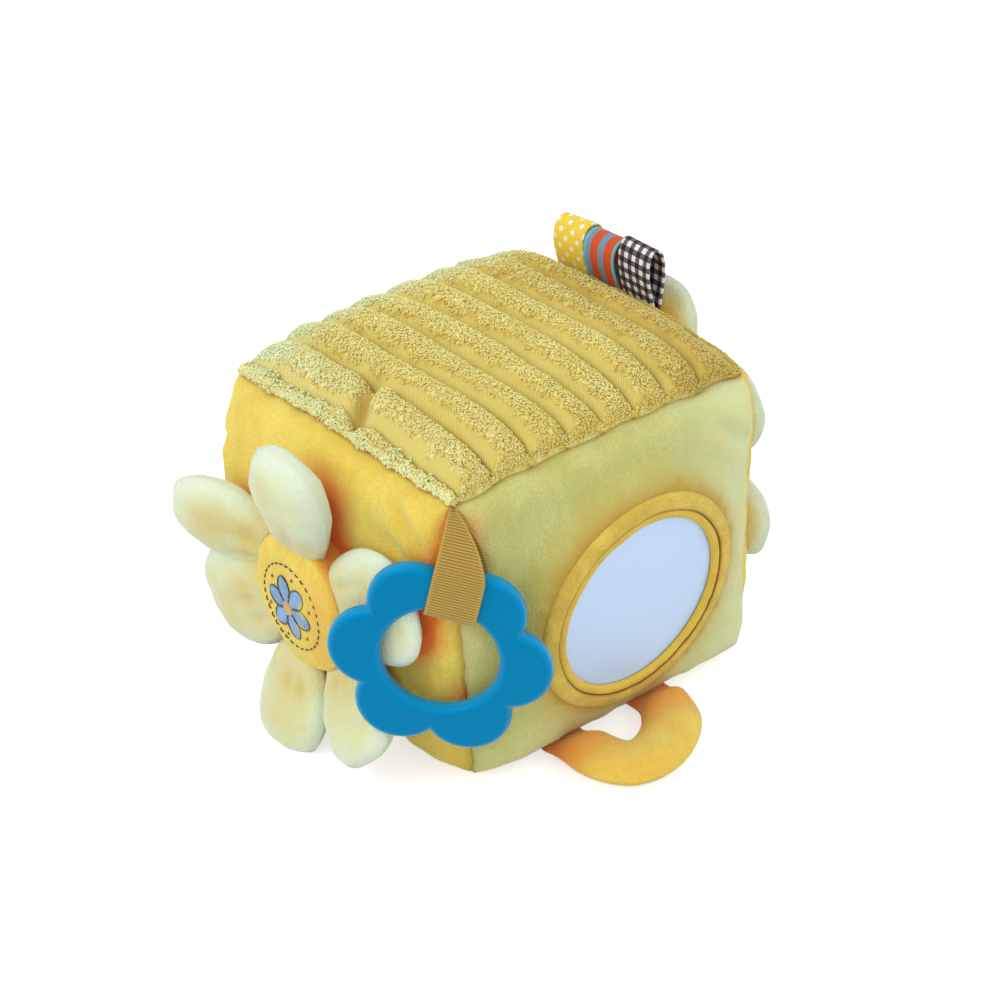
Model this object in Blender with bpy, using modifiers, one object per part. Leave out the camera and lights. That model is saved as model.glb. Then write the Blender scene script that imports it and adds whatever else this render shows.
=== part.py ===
"""Soft activity block for a baby: a stuffed fabric cube with a ribbed terry top, a mirror, two stuffed
flowers, a six-lobed ring on a corner ribbon, three folded ribbon tags and a stuffed loop handle.

Lengths are in metres. The block stands on z = 0 and its top is centred over the origin. The mirror
faces -Y, the first flower faces -X and the second flower faces +X."""

import math

import bmesh
import bpy
from mathutils import Matrix, Vector

# Block cover, measured from seam to seam
HEIGHT = 0.115
TOP_WIDTH = 0.126
TOP_DEPTH = 0.1215
BASE_WIDTH = 0.113
BASE_DEPTH = 0.115
BASE_SHIFT = 0.0025
BASE_LIFT = 0.003
BASE_EDGE_SHARE = 0.25
COVER = 0.0025
PANEL_CELLS = 8

# How far the stuffing pushes out the panels, the seams, and the vertical seam at -X, +Y
SIDE_CROWN = 0.008
MIRROR_SIDE_CROWN = 0.0055
TOP_CROWN = 0.008
CROWN_POWER = 4
SEAM_BOW = 0.002
TOP_SEAM_BOW = 0.0035
BACK_LEFT_BOW = 0.005

# Gaps between pieces that touch on the real block
SEAM_GAP = 0.0003
FILL_GAP = 0.0005
SEAT_GAP = 0.0003
CUT_OVERRUN = 0.012
WELD = 0.00001
SHARP_ANGLE = math.radians(40)

# Terry ribs on the top, which run along Y
RIB_PITCH = 0.0142
RIB_FIRST = 0.0115
RIB_HEIGHT = 0.0042
RIB_WIDTH = 0.0112
RIB_COLUMNS = 54
RIB_END_POWER = 14
RIB_SIDE_POWER = 10

# Mirror, its padded ring and its backing
MIRROR_X = 0.0036
MIRROR_Z = 0.054
MIRROR_PAD = 0.0018
MIRROR_TIP = math.radians(5.38)
MIRROR_YAW = math.radians(0.7)
MIRROR_VIEW_RADIUS = 0.0331
MIRROR_LIP = 0.0022
MIRROR_GLASS = 0.0018
FRAME_WIDTH = 0.0092
FRAME_LIP_WIDTH = 0.0034
FRAME_ROLL = 0.0032
TURN_STEPS = 48

# Flowers: a stuffed disc with six stuffed petals sewn round it
FLOWER_Y = 0.0017
FLOWER_Z = 0.0575
FLOWER_RADIUS = 0.0243
FLOWER_DEPTH = 0.0170
FLOWER_RIM_DEPTH = 0.0100
FLOWER_FOOT_SHARE = 0.9
FLOWER_STEPS = 6
PETAL_RING_RADIUS = 0.0252
PETAL_STAND = 0.0085
PETAL_LENGTH = 0.041
PETAL_WIDTH = 0.0315
PETAL_THICKNESS = 0.0145
PETAL_CUP = 0.001
PETAL_ROOT_SHARE = 0.62
PETAL_TAPER_SHARE = 0.6
PETAL_PLUMP_SHARE = 0.5
PETAL_BLUNT_POWER = -0.12
PETAL_SEGMENTS = 12
PETAL_RINGS = 8

# Each petal: degrees round from the top towards -Y, degrees skewed from there, degrees tilted off
# the face, and its shares of PETAL_LENGTH and PETAL_THICKNESS. The ring presses the second one flat.
LEFT_PETAL_SHARES = (
    (8, 3, 19, 1.07, 1.00),
    (69, 16, -15, 0.78, 0.72),
    (138, 9, 14, 0.95, 1.00),
    (190, -12, 32, 0.93, 0.95),
    (242, 2, 14, 0.90, 1.00),
    (293, 0, 26, 1.00, 1.00),
)
RIGHT_PETAL_SHARES = (
    (4, 0, 11, 1.02, 1.00),
    (61, 0, 6, 0.89, 0.95),
    (106, 0, 6, 0.88, 1.00),
    (168, 0, 18, 0.92, 0.95),
    (230, 0, 18, 0.95, 1.00),
    (296, 0, 14, 0.97, 1.00),
)

# Ribbon folded through the ring and sewn into the top corner at -X, -Y
RIBBON_WIDTH = 0.0172
RIBBON_THICKNESS = 0.0008
RIBBON_DROP = 0.0377
RIBBON_FLARE = 0.019
RIBBON_NECK = 0.003
RIBBON_SKEW = math.radians(15)
RIBBON_APEX_OFFSET = 0.001
RIBBON_APEX_STAND = 0.0006
RIBBON_BACK_STAND = 0.0009
RIBBON_STEPS = 8
CORNER_STEPS = 8

# Ring with six round lobes
RING_HOLE_RADIUS = 0.0197
RING_LOBES = 6
RING_LOBE_RADIUS = 0.0151
RING_LOBE_CENTRES = 0.0224
RING_THICKNESS = 0.0064
RING_EDGE_RADIUS = 0.0024
RING_CLEARANCE = 0.0004
RING_TURN = math.radians(5)
RING_LOBE_STEPS = 9
RING_HOLE_STEPS = 36

# Folded ribbon tags in the top seam of the +X side
TAG_WIDTH = 0.0160
TAG_HEIGHT = 0.0240
TAG_OPENING = 0.0090
TAG_THICKNESS = 0.0009
TAG_FOOT = 0.0016
TAG_STEPS = 16

# Each tag: its place along half of TOP_DEPTH, its shares of TAG_HEIGHT and TAG_OPENING, and the
# degrees that it leans out and back
TAG_SHARES = {
    "tag_dotted": (0.490, 0.90, 0.95, 6, 3),
    "tag_striped": (0.205, 0.88, 1.00, 3, 2),
    "tag_gingham": (-0.090, 1.00, 0.70, 1, 1),
}

# Stuffed loop handle in the bottom seam under the mirror
HANDLE_X = -0.004
HANDLE_SPAN = 0.0385
HANDLE_REACH = 0.0310
HANDLE_SKEW = 0.0065
HANDLE_BAND = 0.0205
HANDLE_THICKNESS = 0.0115
HANDLE_END_SHARE = 0.85
HANDLE_PINCH_SHARE = 0.25
HANDLE_PINCH_LENGTH = 0.014
HANDLE_HINGE_STAND = 0.0012
HANDLE_TAPER_SHARE = 0.6
HANDLE_BEND_POWER = 0.8
HANDLE_STEPS = 18

PARTS = bpy.data.collections.new("soft_activity_block")
CUTTERS = bpy.data.collections.new("cutters")


def clear_scene():
    for obj in list(bpy.data.objects):
        bpy.data.objects.remove(obj)
    for collection in (PARTS, CUTTERS):
        bpy.context.scene.collection.children.link(collection)


def material(name, colour, roughness, metallic=0.0):
    made = bpy.data.materials.new(name)
    made.use_nodes = True
    shader = made.node_tree.nodes["Principled BSDF"]
    shader.inputs["Base Color"].default_value = (*colour, 1.0)
    shader.inputs["Roughness"].default_value = roughness
    shader.inputs["Metallic"].default_value = metallic
    return made


def place(name, data, finish, matrix=None, collection=PARTS):
    """A new object of this mesh or curve, with its finish, placed by its matrix."""
    obj = bpy.data.objects.new(name, data)
    if finish:
        data.materials.append(finish)
    if matrix:
        obj.matrix_world = matrix
    collection.objects.link(obj)
    return obj


def place_mesh(name, shape, finish, matrix=None, smooth=True, collection=PARTS):
    bmesh.ops.recalc_face_normals(shape, faces=shape.faces[:])
    if shape.calc_volume(signed=True) < 0:
        bmesh.ops.reverse_faces(shape, faces=shape.faces[:])
    mesh = bpy.data.meshes.new(name)
    shape.to_mesh(mesh)
    shape.free()
    if smooth:
        mesh.shade_smooth()
        mesh.set_sharp_from_angle(angle=SHARP_ANGLE)
    return place(name, mesh, finish, matrix, collection)


def as_mesh(obj):
    """The object again as a mesh, with its modifiers applied and its caps welded."""
    evaluated = obj.evaluated_get(bpy.context.evaluated_depsgraph_get())
    mesh = bpy.data.meshes.new_from_object(evaluated)
    name, matrix = obj.name, obj.matrix_world.copy()
    bpy.data.objects.remove(obj)
    shape = bmesh.new()
    shape.from_mesh(mesh)
    bmesh.ops.remove_doubles(shape, verts=shape.verts[:], dist=WELD)
    finish = mesh.materials[0]
    bpy.data.meshes.remove(mesh)
    return place_mesh(name, shape, finish, matrix)


def cut(obj, cutter):
    modifier = obj.modifiers.new("seat", "BOOLEAN")
    modifier.operation = "DIFFERENCE"
    modifier.solver = "EXACT"
    modifier.object = cutter


def mix(low, high, share):
    return low + (high - low) * share


def smooth_step(share):
    share = min(1, max(0, share))
    return share * share * (3 - 2 * share)


def swell(share):
    """How full a panel is: 1 at its middle and 0 at its seams."""
    return 1 - abs(share) ** CROWN_POWER


def base_flat(a, b):
    """1 where the base rests flat on the ground and 0 at its seams."""
    share = min(1, (1 - max(abs(a), abs(b))) / BASE_EDGE_SHARE)
    return share * (2 - share)


def rib_height(a, b):
    """How far the terry stands over its ground, at this share of the top's width and depth."""
    across = (a + 1) / 2 * TOP_WIDTH - RIB_FIRST
    from_rib = abs((across + RIB_PITCH / 2) % RIB_PITCH - RIB_PITCH / 2)
    share = min(1, from_rib / (RIB_WIDTH / 2))
    ends = (1 - abs(b) ** RIB_END_POWER) * (1 - abs(a) ** RIB_SIDE_POWER)
    return RIB_HEIGHT * math.sqrt(1 - share**2) * ends


def block_point(a, b, c, inset):
    """The point of the cover for a place on the cube from -1 to 1, this far under its outer side."""
    up = (c + 1) / 2
    half_width = mix(BASE_WIDTH, TOP_WIDTH, up) / 2 - inset
    half_depth = mix(BASE_DEPTH, TOP_DEPTH, up) / 2 - inset
    x = BASE_SHIFT * (1 - up) + a * (half_width + SEAM_BOW * (1 - (b * c) ** 2))
    y = b * (half_depth + SEAM_BOW * (1 - (a * c) ** 2))
    z = mix(BASE_LIFT + inset, HEIGHT - inset, up) + max(c, 0) * TOP_SEAM_BOW * (1 - (a * b) ** 2)
    back_left = BACK_LEFT_BOW * (1 - a) / 2 * (1 + b) / 2 * (1 - c**2)
    x -= back_left
    y += back_left
    if abs(a) == 1:
        x += a * SIDE_CROWN * swell(b) * swell(c)
    if abs(b) == 1:
        y += b * MIRROR_SIDE_CROWN * swell(a) * swell(c)
    if c == 1:
        z += TOP_CROWN * swell(a) * swell(b)
    if c == -1:
        z -= BASE_LIFT * base_flat(a, b)
    return Vector((x, y, z))


FACES = {
    "left": lambda u, v: (-1, u, v),
    "right": lambda u, v: (1, u, v),
    "front": lambda u, v: (u, -1, v),
    "back": lambda u, v: (u, 1, v),
    "top": lambda u, v: (u, v, 1),
    "bottom": lambda u, v: (u, v, -1),
}


def face_plate(face, columns, outer, inner, sunk=Vector()):
    """A closed plate that follows one face of the block between two depths under its outer side. Its
    inner side is moved by sunk as well."""
    to_seam = 1 - 2 * SEAM_GAP / BASE_WIDTH
    shape = bmesh.new()
    bmesh.ops.create_grid(shape, x_segments=columns, y_segments=PANEL_CELLS, size=1)
    grown = bmesh.ops.extrude_face_region(shape, geom=shape.faces[:], use_keep_orig=True)
    for item in grown["geom"]:
        if isinstance(item, bmesh.types.BMVert):
            item.co.z = 1
    for vert in shape.verts:
        place_on_cube = FACES[face](vert.co.x * to_seam, vert.co.y * to_seam)
        under = vert.co.z > 0
        vert.co = block_point(*place_on_cube, inner if under else outer)
        if under:
            vert.co += sunk
        if face == "top" and not under:
            vert.co.z += rib_height(*place_on_cube[:2])
    bmesh.ops.triangulate(shape, faces=shape.faces[:], quad_method="SHORT_EDGE")
    return shape


def make_cover(finishes):
    for name, face, finish in (
        ("flower_panel_left", "left", "golden_velour"),
        ("flower_panel_right", "right", "golden_velour"),
        ("mirror_panel_front", "front", "lemon_velour"),
        ("back_panel", "back", "lemon_velour"),
        ("bottom_panel", "bottom", "golden_velour"),
        ("top_terry_panel", "top", "lemon_terry"),
    ):
        columns = RIB_COLUMNS if face == "top" else PANEL_CELLS
        place_mesh(name, face_plate(face, columns, 0, COVER), finishes[finish])


def make_fill(finishes):
    shape = bmesh.new()
    bmesh.ops.create_cube(shape, size=2)
    bmesh.ops.subdivide_edges(shape, edges=shape.edges[:], cuts=PANEL_CELLS - 1, use_grid_fill=True)
    for vert in shape.verts:
        vert.co = block_point(*vert.co, COVER + FILL_GAP)
    bmesh.ops.triangulate(shape, faces=shape.faces[:], quad_method="SHORT_EDGE")
    place_mesh("fibre_fill", shape, finishes["fibre"])


def make_seat_cutter(face):
    """Everything behind this face, and the gap that a piece seated on it keeps."""
    inwards = -Vector(round(share) for share in FACES[face](0, 0))
    shape = face_plate(face, PANEL_CELLS, -SEAT_GAP, -SEAT_GAP, inwards * CUT_OVERRUN)
    cutter = place_mesh(f"{face}_seat_cutter", shape, None, smooth=False, collection=CUTTERS)
    cutter.hide_render = True
    cutter.display_type = "WIRE"
    return cutter


def turned(name, profile, finish, matrix):
    """A closed profile of (radius, height) points turned round the object's Z axis."""
    shape = bmesh.new()
    verts = [shape.verts.new((radius, 0, height)) for radius, height in profile]
    for first, second in zip(verts, verts[1:]):
        shape.edges.new((first, second))
    if profile[0][0] > 0:
        shape.edges.new((verts[-1], verts[0]))
    mesh = bpy.data.meshes.new(name)
    shape.to_mesh(mesh)
    shape.free()
    obj = place(name, mesh, finish, matrix)
    screw = obj.modifiers.new("turn", "SCREW")
    screw.steps = screw.render_steps = TURN_STEPS
    screw.use_merge_vertices = True
    screw.merge_threshold = WELD
    screw.use_smooth_shade = True
    return obj


def mirror_tilt():
    return math.atan((TOP_DEPTH - BASE_DEPTH) / 2 / HEIGHT) + MIRROR_TIP


def panel_reaches(radius):
    """How far the front panel reaches towards -Y round a circle of the mirror, less the tilt there."""
    reaches = []
    for step in range(TURN_STEPS):
        angle = 2 * math.pi * step / TURN_STEPS
        rise = radius * math.sin(angle) * math.cos(mirror_tilt())
        up = (MIRROR_Z + rise - BASE_LIFT) / (HEIGHT - BASE_LIFT)
        half_width = mix(BASE_WIDTH, TOP_WIDTH, up) / 2 + SEAM_BOW
        across = (MIRROR_X + radius * math.cos(angle)) / half_width
        reaches.append(-block_point(across, -1, 2 * up - 1, 0).y - rise * math.tan(mirror_tilt()))
    return reaches


def glass_radius():
    return MIRROR_VIEW_RADIUS + FRAME_LIP_WIDTH - SEAT_GAP


def mirror_reach():
    """How far out the mirror's face lies, with its back MIRROR_PAD or more off the front panel."""
    return max(panel_reaches(0) + panel_reaches(glass_radius())) + MIRROR_GLASS + MIRROR_PAD


def mirror_matrix():
    """Origin at the middle of the mirror's face, with Z out of it and Y up along it."""
    across = Vector((math.cos(MIRROR_YAW), math.sin(MIRROR_YAW), 0))
    up = Vector((0, -math.sin(mirror_tilt()), math.cos(mirror_tilt())))
    out = across.cross(up).normalized()
    up = out.cross(across)
    turn = Matrix((across, up, out)).transposed().to_4x4()
    return Matrix.Translation((MIRROR_X, -mirror_reach(), MIRROR_Z)) @ turn


def make_mirror(finishes, seat):
    matrix = mirror_matrix()
    outer = MIRROR_VIEW_RADIUS + FRAME_WIDTH
    groove = MIRROR_VIEW_RADIUS + FRAME_LIP_WIDTH
    glass = glass_radius()
    skirt = mirror_reach() - min(panel_reaches(outer)) + FILL_GAP
    backing = mirror_reach() - min(panel_reaches(glass)) + FILL_GAP - MIRROR_GLASS
    profile = (
        (groove + FRAME_ROLL / 4, MIRROR_LIP / 3),
        (mix(groove, outer, 0.5), MIRROR_LIP + FRAME_ROLL / 2),
        (outer - FRAME_ROLL / 3, MIRROR_LIP),
        (outer, 0),
        (outer, -skirt),
        (groove, -skirt),
        (groove, SEAT_GAP),
        (MIRROR_VIEW_RADIUS, SEAT_GAP),
        (MIRROR_VIEW_RADIUS, MIRROR_LIP / 2),
        (mix(MIRROR_VIEW_RADIUS, groove, 0.5), MIRROR_LIP),
    )
    frame = turned("mirror_frame", profile, finishes["golden_felt"], matrix)
    cut(frame, seat)

    for name, top, depth, finish in (
        ("mirror_disc", 0, MIRROR_GLASS, "mirror"),
        ("mirror_backing", -MIRROR_GLASS - SEAT_GAP, backing, "golden_felt"),
    ):
        shape = bmesh.new()
        bmesh.ops.create_cone(
            shape, segments=TURN_STEPS, radius1=glass, radius2=glass, depth=depth, cap_ends=True
        )
        bmesh.ops.translate(shape, verts=shape.verts[:], vec=(0, 0, top - depth / 2))
        disc = place_mesh(name, shape, finishes[finish], matrix)
        if name == "mirror_backing":
            cut(disc, seat)


def petal_mesh(length, thickness):
    """A stuffed petal from its root at the origin along X, with its outer side towards +Z."""
    shape = bmesh.new()
    bmesh.ops.create_uvsphere(
        shape,
        u_segments=PETAL_SEGMENTS,
        v_segments=PETAL_RINGS,
        radius=1,
        matrix=Matrix.Rotation(math.pi / 2, 4, "Y"),
    )
    for vert in shape.verts:
        along = (vert.co.x + 1) / 2
        girth = max(0, 1 - vert.co.x**2)
        blunt = girth**PETAL_BLUNT_POWER if girth > WELD else 0
        spread = mix(PETAL_ROOT_SHARE, 1, smooth_step(along / PETAL_TAPER_SHARE))
        plump = mix(1, spread, PETAL_PLUMP_SHARE)
        vert.co = (
            length * along,
            vert.co.y * blunt * spread * PETAL_WIDTH / 2,
            vert.co.z * blunt * plump * thickness / 2 + PETAL_CUP * along**2,
        )
    return shape


def petal_matrix(side, turn, skew, tilt):
    """The petal's root with X along it and Z out of the face, on the side at -X or +X."""
    face = block_point(side, 0, 0, 0).x
    out = Vector((side, 0, 0))

    def away(degrees):
        angle = math.radians(degrees)
        return Vector((0, -math.sin(angle), math.cos(angle)))

    root = Vector((face, FLOWER_Y, FLOWER_Z)) + out * PETAL_STAND + away(turn) * PETAL_RING_RADIUS
    lean = math.radians(tilt)
    along = away(turn + skew) * math.cos(lean) + out * math.sin(lean)
    across = out.cross(away(turn + skew))
    rise = along.cross(across)
    return Matrix.Translation(root) @ Matrix((along, across, rise)).transposed().to_4x4()


def make_flower(label, side, shares, finishes, seat):
    for number, (turn, skew, tilt, length_share, thickness_share) in enumerate(shares, 1):
        shape = petal_mesh(PETAL_LENGTH * length_share, PETAL_THICKNESS * thickness_share)
        matrix = petal_matrix(side, turn, skew, tilt)
        place_mesh(f"{label}_petal_{number}", shape, finishes["lemon_velour"], matrix)

    face = block_point(side, 0, 0, 0).x
    turn_out = Matrix.Rotation(side * math.pi / 2, 4, "Y")
    matrix = Matrix.Translation((face, FLOWER_Y, FLOWER_Z)) @ turn_out
    dome = FLOWER_DEPTH - FLOWER_RIM_DEPTH
    crown = []
    for step in range(FLOWER_STEPS + 1):
        angle = math.pi / 2 * step / FLOWER_STEPS
        crown.append((FLOWER_RADIUS * math.sin(angle), FLOWER_RIM_DEPTH + dome * math.cos(angle)))
    foot = FLOWER_RADIUS * FLOWER_FOOT_SHARE
    under = [(FLOWER_RADIUS, FLOWER_RIM_DEPTH / 2), (foot, -COVER), (0, -COVER)]
    disc = turned(f"{label}_flower_centre", crown + under, finishes["golden_velour"], matrix)
    cut(disc, seat)


def strip(name, left_edge, right_edge, thickness, finish, matrix):
    """A ribbon between two edges of as many points, made a sheet and thickened."""
    steps = len(left_edge) - 1
    shape = bmesh.new()
    bmesh.ops.create_grid(shape, x_segments=steps, y_segments=2, size=1)
    for vert in shape.verts:
        row = round((vert.co.x + 1) / 2 * steps)
        vert.co = left_edge[row].lerp(right_edge[row], (vert.co.y + 1) / 2)
    obj = place_mesh(name, shape, finish, matrix)
    solid = obj.modifiers.new("thickness", "SOLIDIFY")
    solid.thickness = thickness
    solid.offset = 0
    solid.use_even_offset = True
    return obj


def ribbon_frame():
    """The corner ribbon's seam, with X along its hinge, Y out of the corner and Z up."""
    along = Vector((-1, 1, 0)).normalized()
    out = Vector((-1, -1, 0)).normalized()
    seam = block_point(-1, -1, 1, 0) + along * RIBBON_APEX_OFFSET + out * RIBBON_APEX_STAND
    return Matrix.Translation(seam) @ Matrix((along, out, Vector((0, 0, 1)))).transposed().to_4x4()


def ribbon_fold_radius():
    return RING_THICKNESS / 2 + RING_CLEARANCE + RIBBON_THICKNESS / 2


def ribbon_fold_seat():
    """How far the ribbon's fold lies from the ring's middle: its edges touch the round hole."""
    chord = math.sqrt(RING_HOLE_RADIUS**2 - (RIBBON_WIDTH / 2) ** 2)
    return chord - RING_CLEARANCE - RIBBON_THICKNESS


def corner_reach():
    """How far the widest part of the corner's seam stands out past the ribbon's own seam."""
    out = Vector((-1, -1, 0)).normalized()
    seam = ribbon_frame().translation
    levels = (step / CORNER_STEPS for step in range(-CORNER_STEPS, CORNER_STEPS + 1))
    return max((block_point(-1, -1, level, 0) - seam).dot(out) for level in levels)


def make_ribbon_and_ring(finishes):
    matrix = ribbon_frame()
    down = Vector((math.sin(RIBBON_SKEW), 0, -math.cos(RIBBON_SKEW)))
    across = Vector((-math.cos(RIBBON_SKEW), 0, -math.sin(RIBBON_SKEW)))
    out = Vector((0, 1, 0))
    radius = ribbon_fold_radius()
    back = corner_reach() + RIBBON_BACK_STAND
    bend = RIBBON_DROP - radius

    centres = []
    for step in range(RIBBON_STEPS + 1):
        share = step / RIBBON_STEPS
        stand = mix(RIBBON_THICKNESS, back + 2 * radius, smooth_step(share * bend / RIBBON_FLARE))
        centres.append((share * bend, stand))
    for step in range(1, RIBBON_STEPS):
        angle = math.pi * step / RIBBON_STEPS
        drop = bend + radius * math.sin(angle)
        centres.append((drop, back + radius + radius * math.cos(angle)))
    for step in range(RIBBON_STEPS + 1):
        share = 1 - step / RIBBON_STEPS
        stand = mix(-RIBBON_THICKNESS / 4, back, smooth_step(share * bend / RIBBON_NECK))
        centres.append((share * bend, stand))
    left_edge = [down * drop + out * stand for drop, stand in centres]
    right_edge = []
    for point, (drop, _) in zip(left_edge, centres):
        width = mix(RIBBON_NECK, RIBBON_WIDTH, min(1, drop / RIBBON_FLARE))
        right_edge.append(point + across * width)
    strip("corner_ribbon", left_edge, right_edge, RIBBON_THICKNESS, finishes["golden_ribbon"], matrix)

    middle = (
        down * (RIBBON_DROP + ribbon_fold_seat() - RIBBON_THICKNESS / 2)
        + across * RIBBON_WIDTH / 2
        + out * (back + radius)
    )
    ring = as_mesh(place("teether_ring", ring_outline(), finishes["blue_plastic"]))
    up = -down
    face = Matrix((across, up, across.cross(up))).transposed().to_4x4()
    turn = Matrix.Rotation(RING_TURN, 4, "Z")
    ring.matrix_world = matrix @ Matrix.Translation(middle) @ face @ turn


def ring_outline():
    """A filled 2D curve with a notch between two lobes at +Y. Its rounded edge grows out of it."""
    curve = bpy.data.curves.new("teether_ring", "CURVE")
    curve.dimensions = "2D"
    curve.fill_mode = "BOTH"
    curve.extrude = RING_THICKNESS / 2 - RING_EDGE_RADIUS
    curve.bevel_depth = RING_EDGE_RADIUS
    curve.bevel_resolution = 2
    lobe_radius = RING_LOBE_RADIUS - RING_EDGE_RADIUS
    hole_radius = RING_HOLE_RADIUS + RING_EDGE_RADIUS
    half_lobe = math.pi / RING_LOBES
    notch = RING_LOBE_CENTRES * math.cos(half_lobe) + math.sqrt(
        lobe_radius**2 - (RING_LOBE_CENTRES * math.sin(half_lobe)) ** 2
    )
    reach = math.atan2(
        notch * math.sin(half_lobe), notch * math.cos(half_lobe) - RING_LOBE_CENTRES
    )
    outline = []
    for lobe in range(RING_LOBES):
        middle = (lobe + 0.5) * 2 * half_lobe + math.pi / 2
        for step in range(RING_LOBE_STEPS):
            angle = middle + mix(-reach, reach, step / RING_LOBE_STEPS)
            x = RING_LOBE_CENTRES * math.cos(middle) + lobe_radius * math.cos(angle)
            y = RING_LOBE_CENTRES * math.sin(middle) + lobe_radius * math.sin(angle)
            outline.append((x, y))
    hole = []
    for step in range(RING_HOLE_STEPS):
        angle = 2 * math.pi * step / RING_HOLE_STEPS
        hole.append((hole_radius * math.cos(angle), hole_radius * math.sin(angle)))
    for points in (outline, hole):
        spline = curve.splines.new("POLY")
        spline.points.add(len(points) - 1)
        for point, (x, y) in zip(spline.points, points):
            point.co = (x, y, 0, 1)
        spline.use_cyclic_u = True
    return curve


def tag_foot(y):
    """Where the middle of a tag's ribbon leaves the top seam of the +X side."""
    return block_point(1, 2 * y / TOP_DEPTH, 1, 0) + Vector((0, 0, SEAT_GAP + TAG_THICKNESS / 2))


def make_tags(finishes):
    """Each tag is a loop of ribbon whose two ends lie together in the seam."""
    for name, (along, height_share, opening_share, out, back) in TAG_SHARES.items():
        y = along * TOP_DEPTH / 2
        middle = tag_foot(y)
        height = TAG_HEIGHT * height_share
        opening = TAG_OPENING * opening_share
        lean_out = math.tan(math.radians(out))
        lean_back = math.tan(math.radians(back))
        edges = []
        for edge_y in (y - TAG_WIDTH / 2, y + TAG_WIDTH / 2):
            edge = []
            for step in range(TAG_STEPS + 1):
                around = 2 * math.pi * step / TAG_STEPS
                x = opening / 2 * math.sin(around) + TAG_FOOT * math.cos(around / 4) ** 2
                z = height * math.sin(around / 2)
                edge.append(tag_foot(edge_y) - middle + Vector((x + z * lean_out, z * lean_back, z)))
            edges.append(edge)
        strip(name, *edges, TAG_THICKNESS, finishes[name], Matrix.Translation(middle))


def make_handle(finishes):
    """A tube bent into a loop and flattened on the ground, with thin ends sewn into the seam."""
    seam = block_point(0, -1, -1, 0)
    curve = bpy.data.curves.new("handle_loop", "CURVE")
    curve.dimensions = "3D"
    curve.bevel_depth = HANDLE_BAND / 2
    curve.bevel_resolution = 3
    curve.use_fill_caps = True
    spline = curve.splines.new("POLY")
    spline.points.add(HANDLE_STEPS)
    for step, point in enumerate(spline.points):
        angle = math.pi * step / HANDLE_STEPS
        x = -HANDLE_SPAN / 2 * math.cos(angle) - HANDLE_SKEW * math.sin(angle) ** 2
        y = -HANDLE_REACH * math.sin(angle) ** HANDLE_BEND_POWER
        point.co = (x, y, 0, 1)
        point.radius = mix(HANDLE_END_SHARE, 1, smooth_step(math.sin(angle) / HANDLE_TAPER_SHARE))
    matrix = Matrix.Translation((HANDLE_X, seam.y - HANDLE_HINGE_STAND, seam.z))
    handle = as_mesh(place("handle_loop", curve, finishes["golden_velour"], matrix))
    half = HANDLE_THICKNESS / 2
    for vert in handle.data.vertices:
        full = smooth_step(-vert.co.y / HANDLE_PINCH_LENGTH)
        height = mix(HANDLE_PINCH_SHARE, 1, full) * vert.co.z / (HANDLE_BAND / 2)
        vert.co.z = height * half + mix(0, half - seam.z, full)


def make_finishes():
    return {
        "golden_velour": material("golden_velour", (0.93, 0.60, 0.09), 0.9),
        "lemon_velour": material("lemon_velour", (0.80, 0.76, 0.33), 0.9),
        "lemon_terry": material("lemon_terry", (0.76, 0.66, 0.20), 1.0),
        "golden_felt": material("golden_felt", (0.72, 0.45, 0.07), 1.0),
        "golden_ribbon": material("golden_ribbon", (0.72, 0.48, 0.09), 0.6),
        "blue_plastic": material("blue_plastic", (0.0, 0.19, 0.42), 0.3),
        "mirror": material("mirror", (0.75, 0.83, 0.95), 0.05, metallic=1.0),
        "fibre": material("white_fibre", (0.9, 0.9, 0.88), 1.0),
        "tag_dotted": material("dotted_ribbon", (0.95, 0.72, 0.08), 0.6),
        "tag_striped": material("striped_ribbon", (0.85, 0.33, 0.12), 0.6),
        "tag_gingham": material("gingham_ribbon", (0.25, 0.22, 0.22), 0.6),
    }


def main():
    clear_scene()
    finishes = make_finishes()
    make_cover(finishes)
    make_fill(finishes)
    make_mirror(finishes, make_seat_cutter("front"))
    make_handle(finishes)
    make_flower("left", -1, LEFT_PETAL_SHARES, finishes, make_seat_cutter("left"))
    make_flower("right", 1, RIGHT_PETAL_SHARES, finishes, make_seat_cutter("right"))
    make_ribbon_and_ring(finishes)
    make_tags(finishes)


main()
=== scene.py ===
"""Looks of the soft activity block: a plush cube with a ribbed terry top, a mirror, two stuffed
flowers, a six-lobed ring on a corner ribbon, three folded ribbon tags and a stuffed loop handle.

Lengths are in metres, in the part's own frame: the block stands on z = 0, the mirror faces -Y, the
first flower faces -X and the second one faces +X. Colours are red, green and blue from 0 to 1."""

import math

import bmesh
import bpy
import numpy as np
from mathutils import Matrix, Vector, noise
from mathutils.bvhtree import BVHTree


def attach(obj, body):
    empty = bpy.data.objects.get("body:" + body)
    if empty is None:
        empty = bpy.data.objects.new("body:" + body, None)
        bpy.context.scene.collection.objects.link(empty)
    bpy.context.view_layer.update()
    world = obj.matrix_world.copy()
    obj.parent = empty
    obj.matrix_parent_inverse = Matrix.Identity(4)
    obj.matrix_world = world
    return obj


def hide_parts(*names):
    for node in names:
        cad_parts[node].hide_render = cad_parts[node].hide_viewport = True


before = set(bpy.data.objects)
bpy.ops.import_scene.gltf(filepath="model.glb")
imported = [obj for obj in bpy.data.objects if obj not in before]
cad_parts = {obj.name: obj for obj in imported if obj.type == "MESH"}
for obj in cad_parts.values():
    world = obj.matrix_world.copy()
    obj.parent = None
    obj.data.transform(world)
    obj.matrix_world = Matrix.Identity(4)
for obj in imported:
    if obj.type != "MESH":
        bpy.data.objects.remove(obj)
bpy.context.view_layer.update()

# Block cover, measured from seam to seam
HEIGHT = 0.115
TOP_WIDTH = 0.126
TOP_DEPTH = 0.1215
BASE_WIDTH = 0.113
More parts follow.
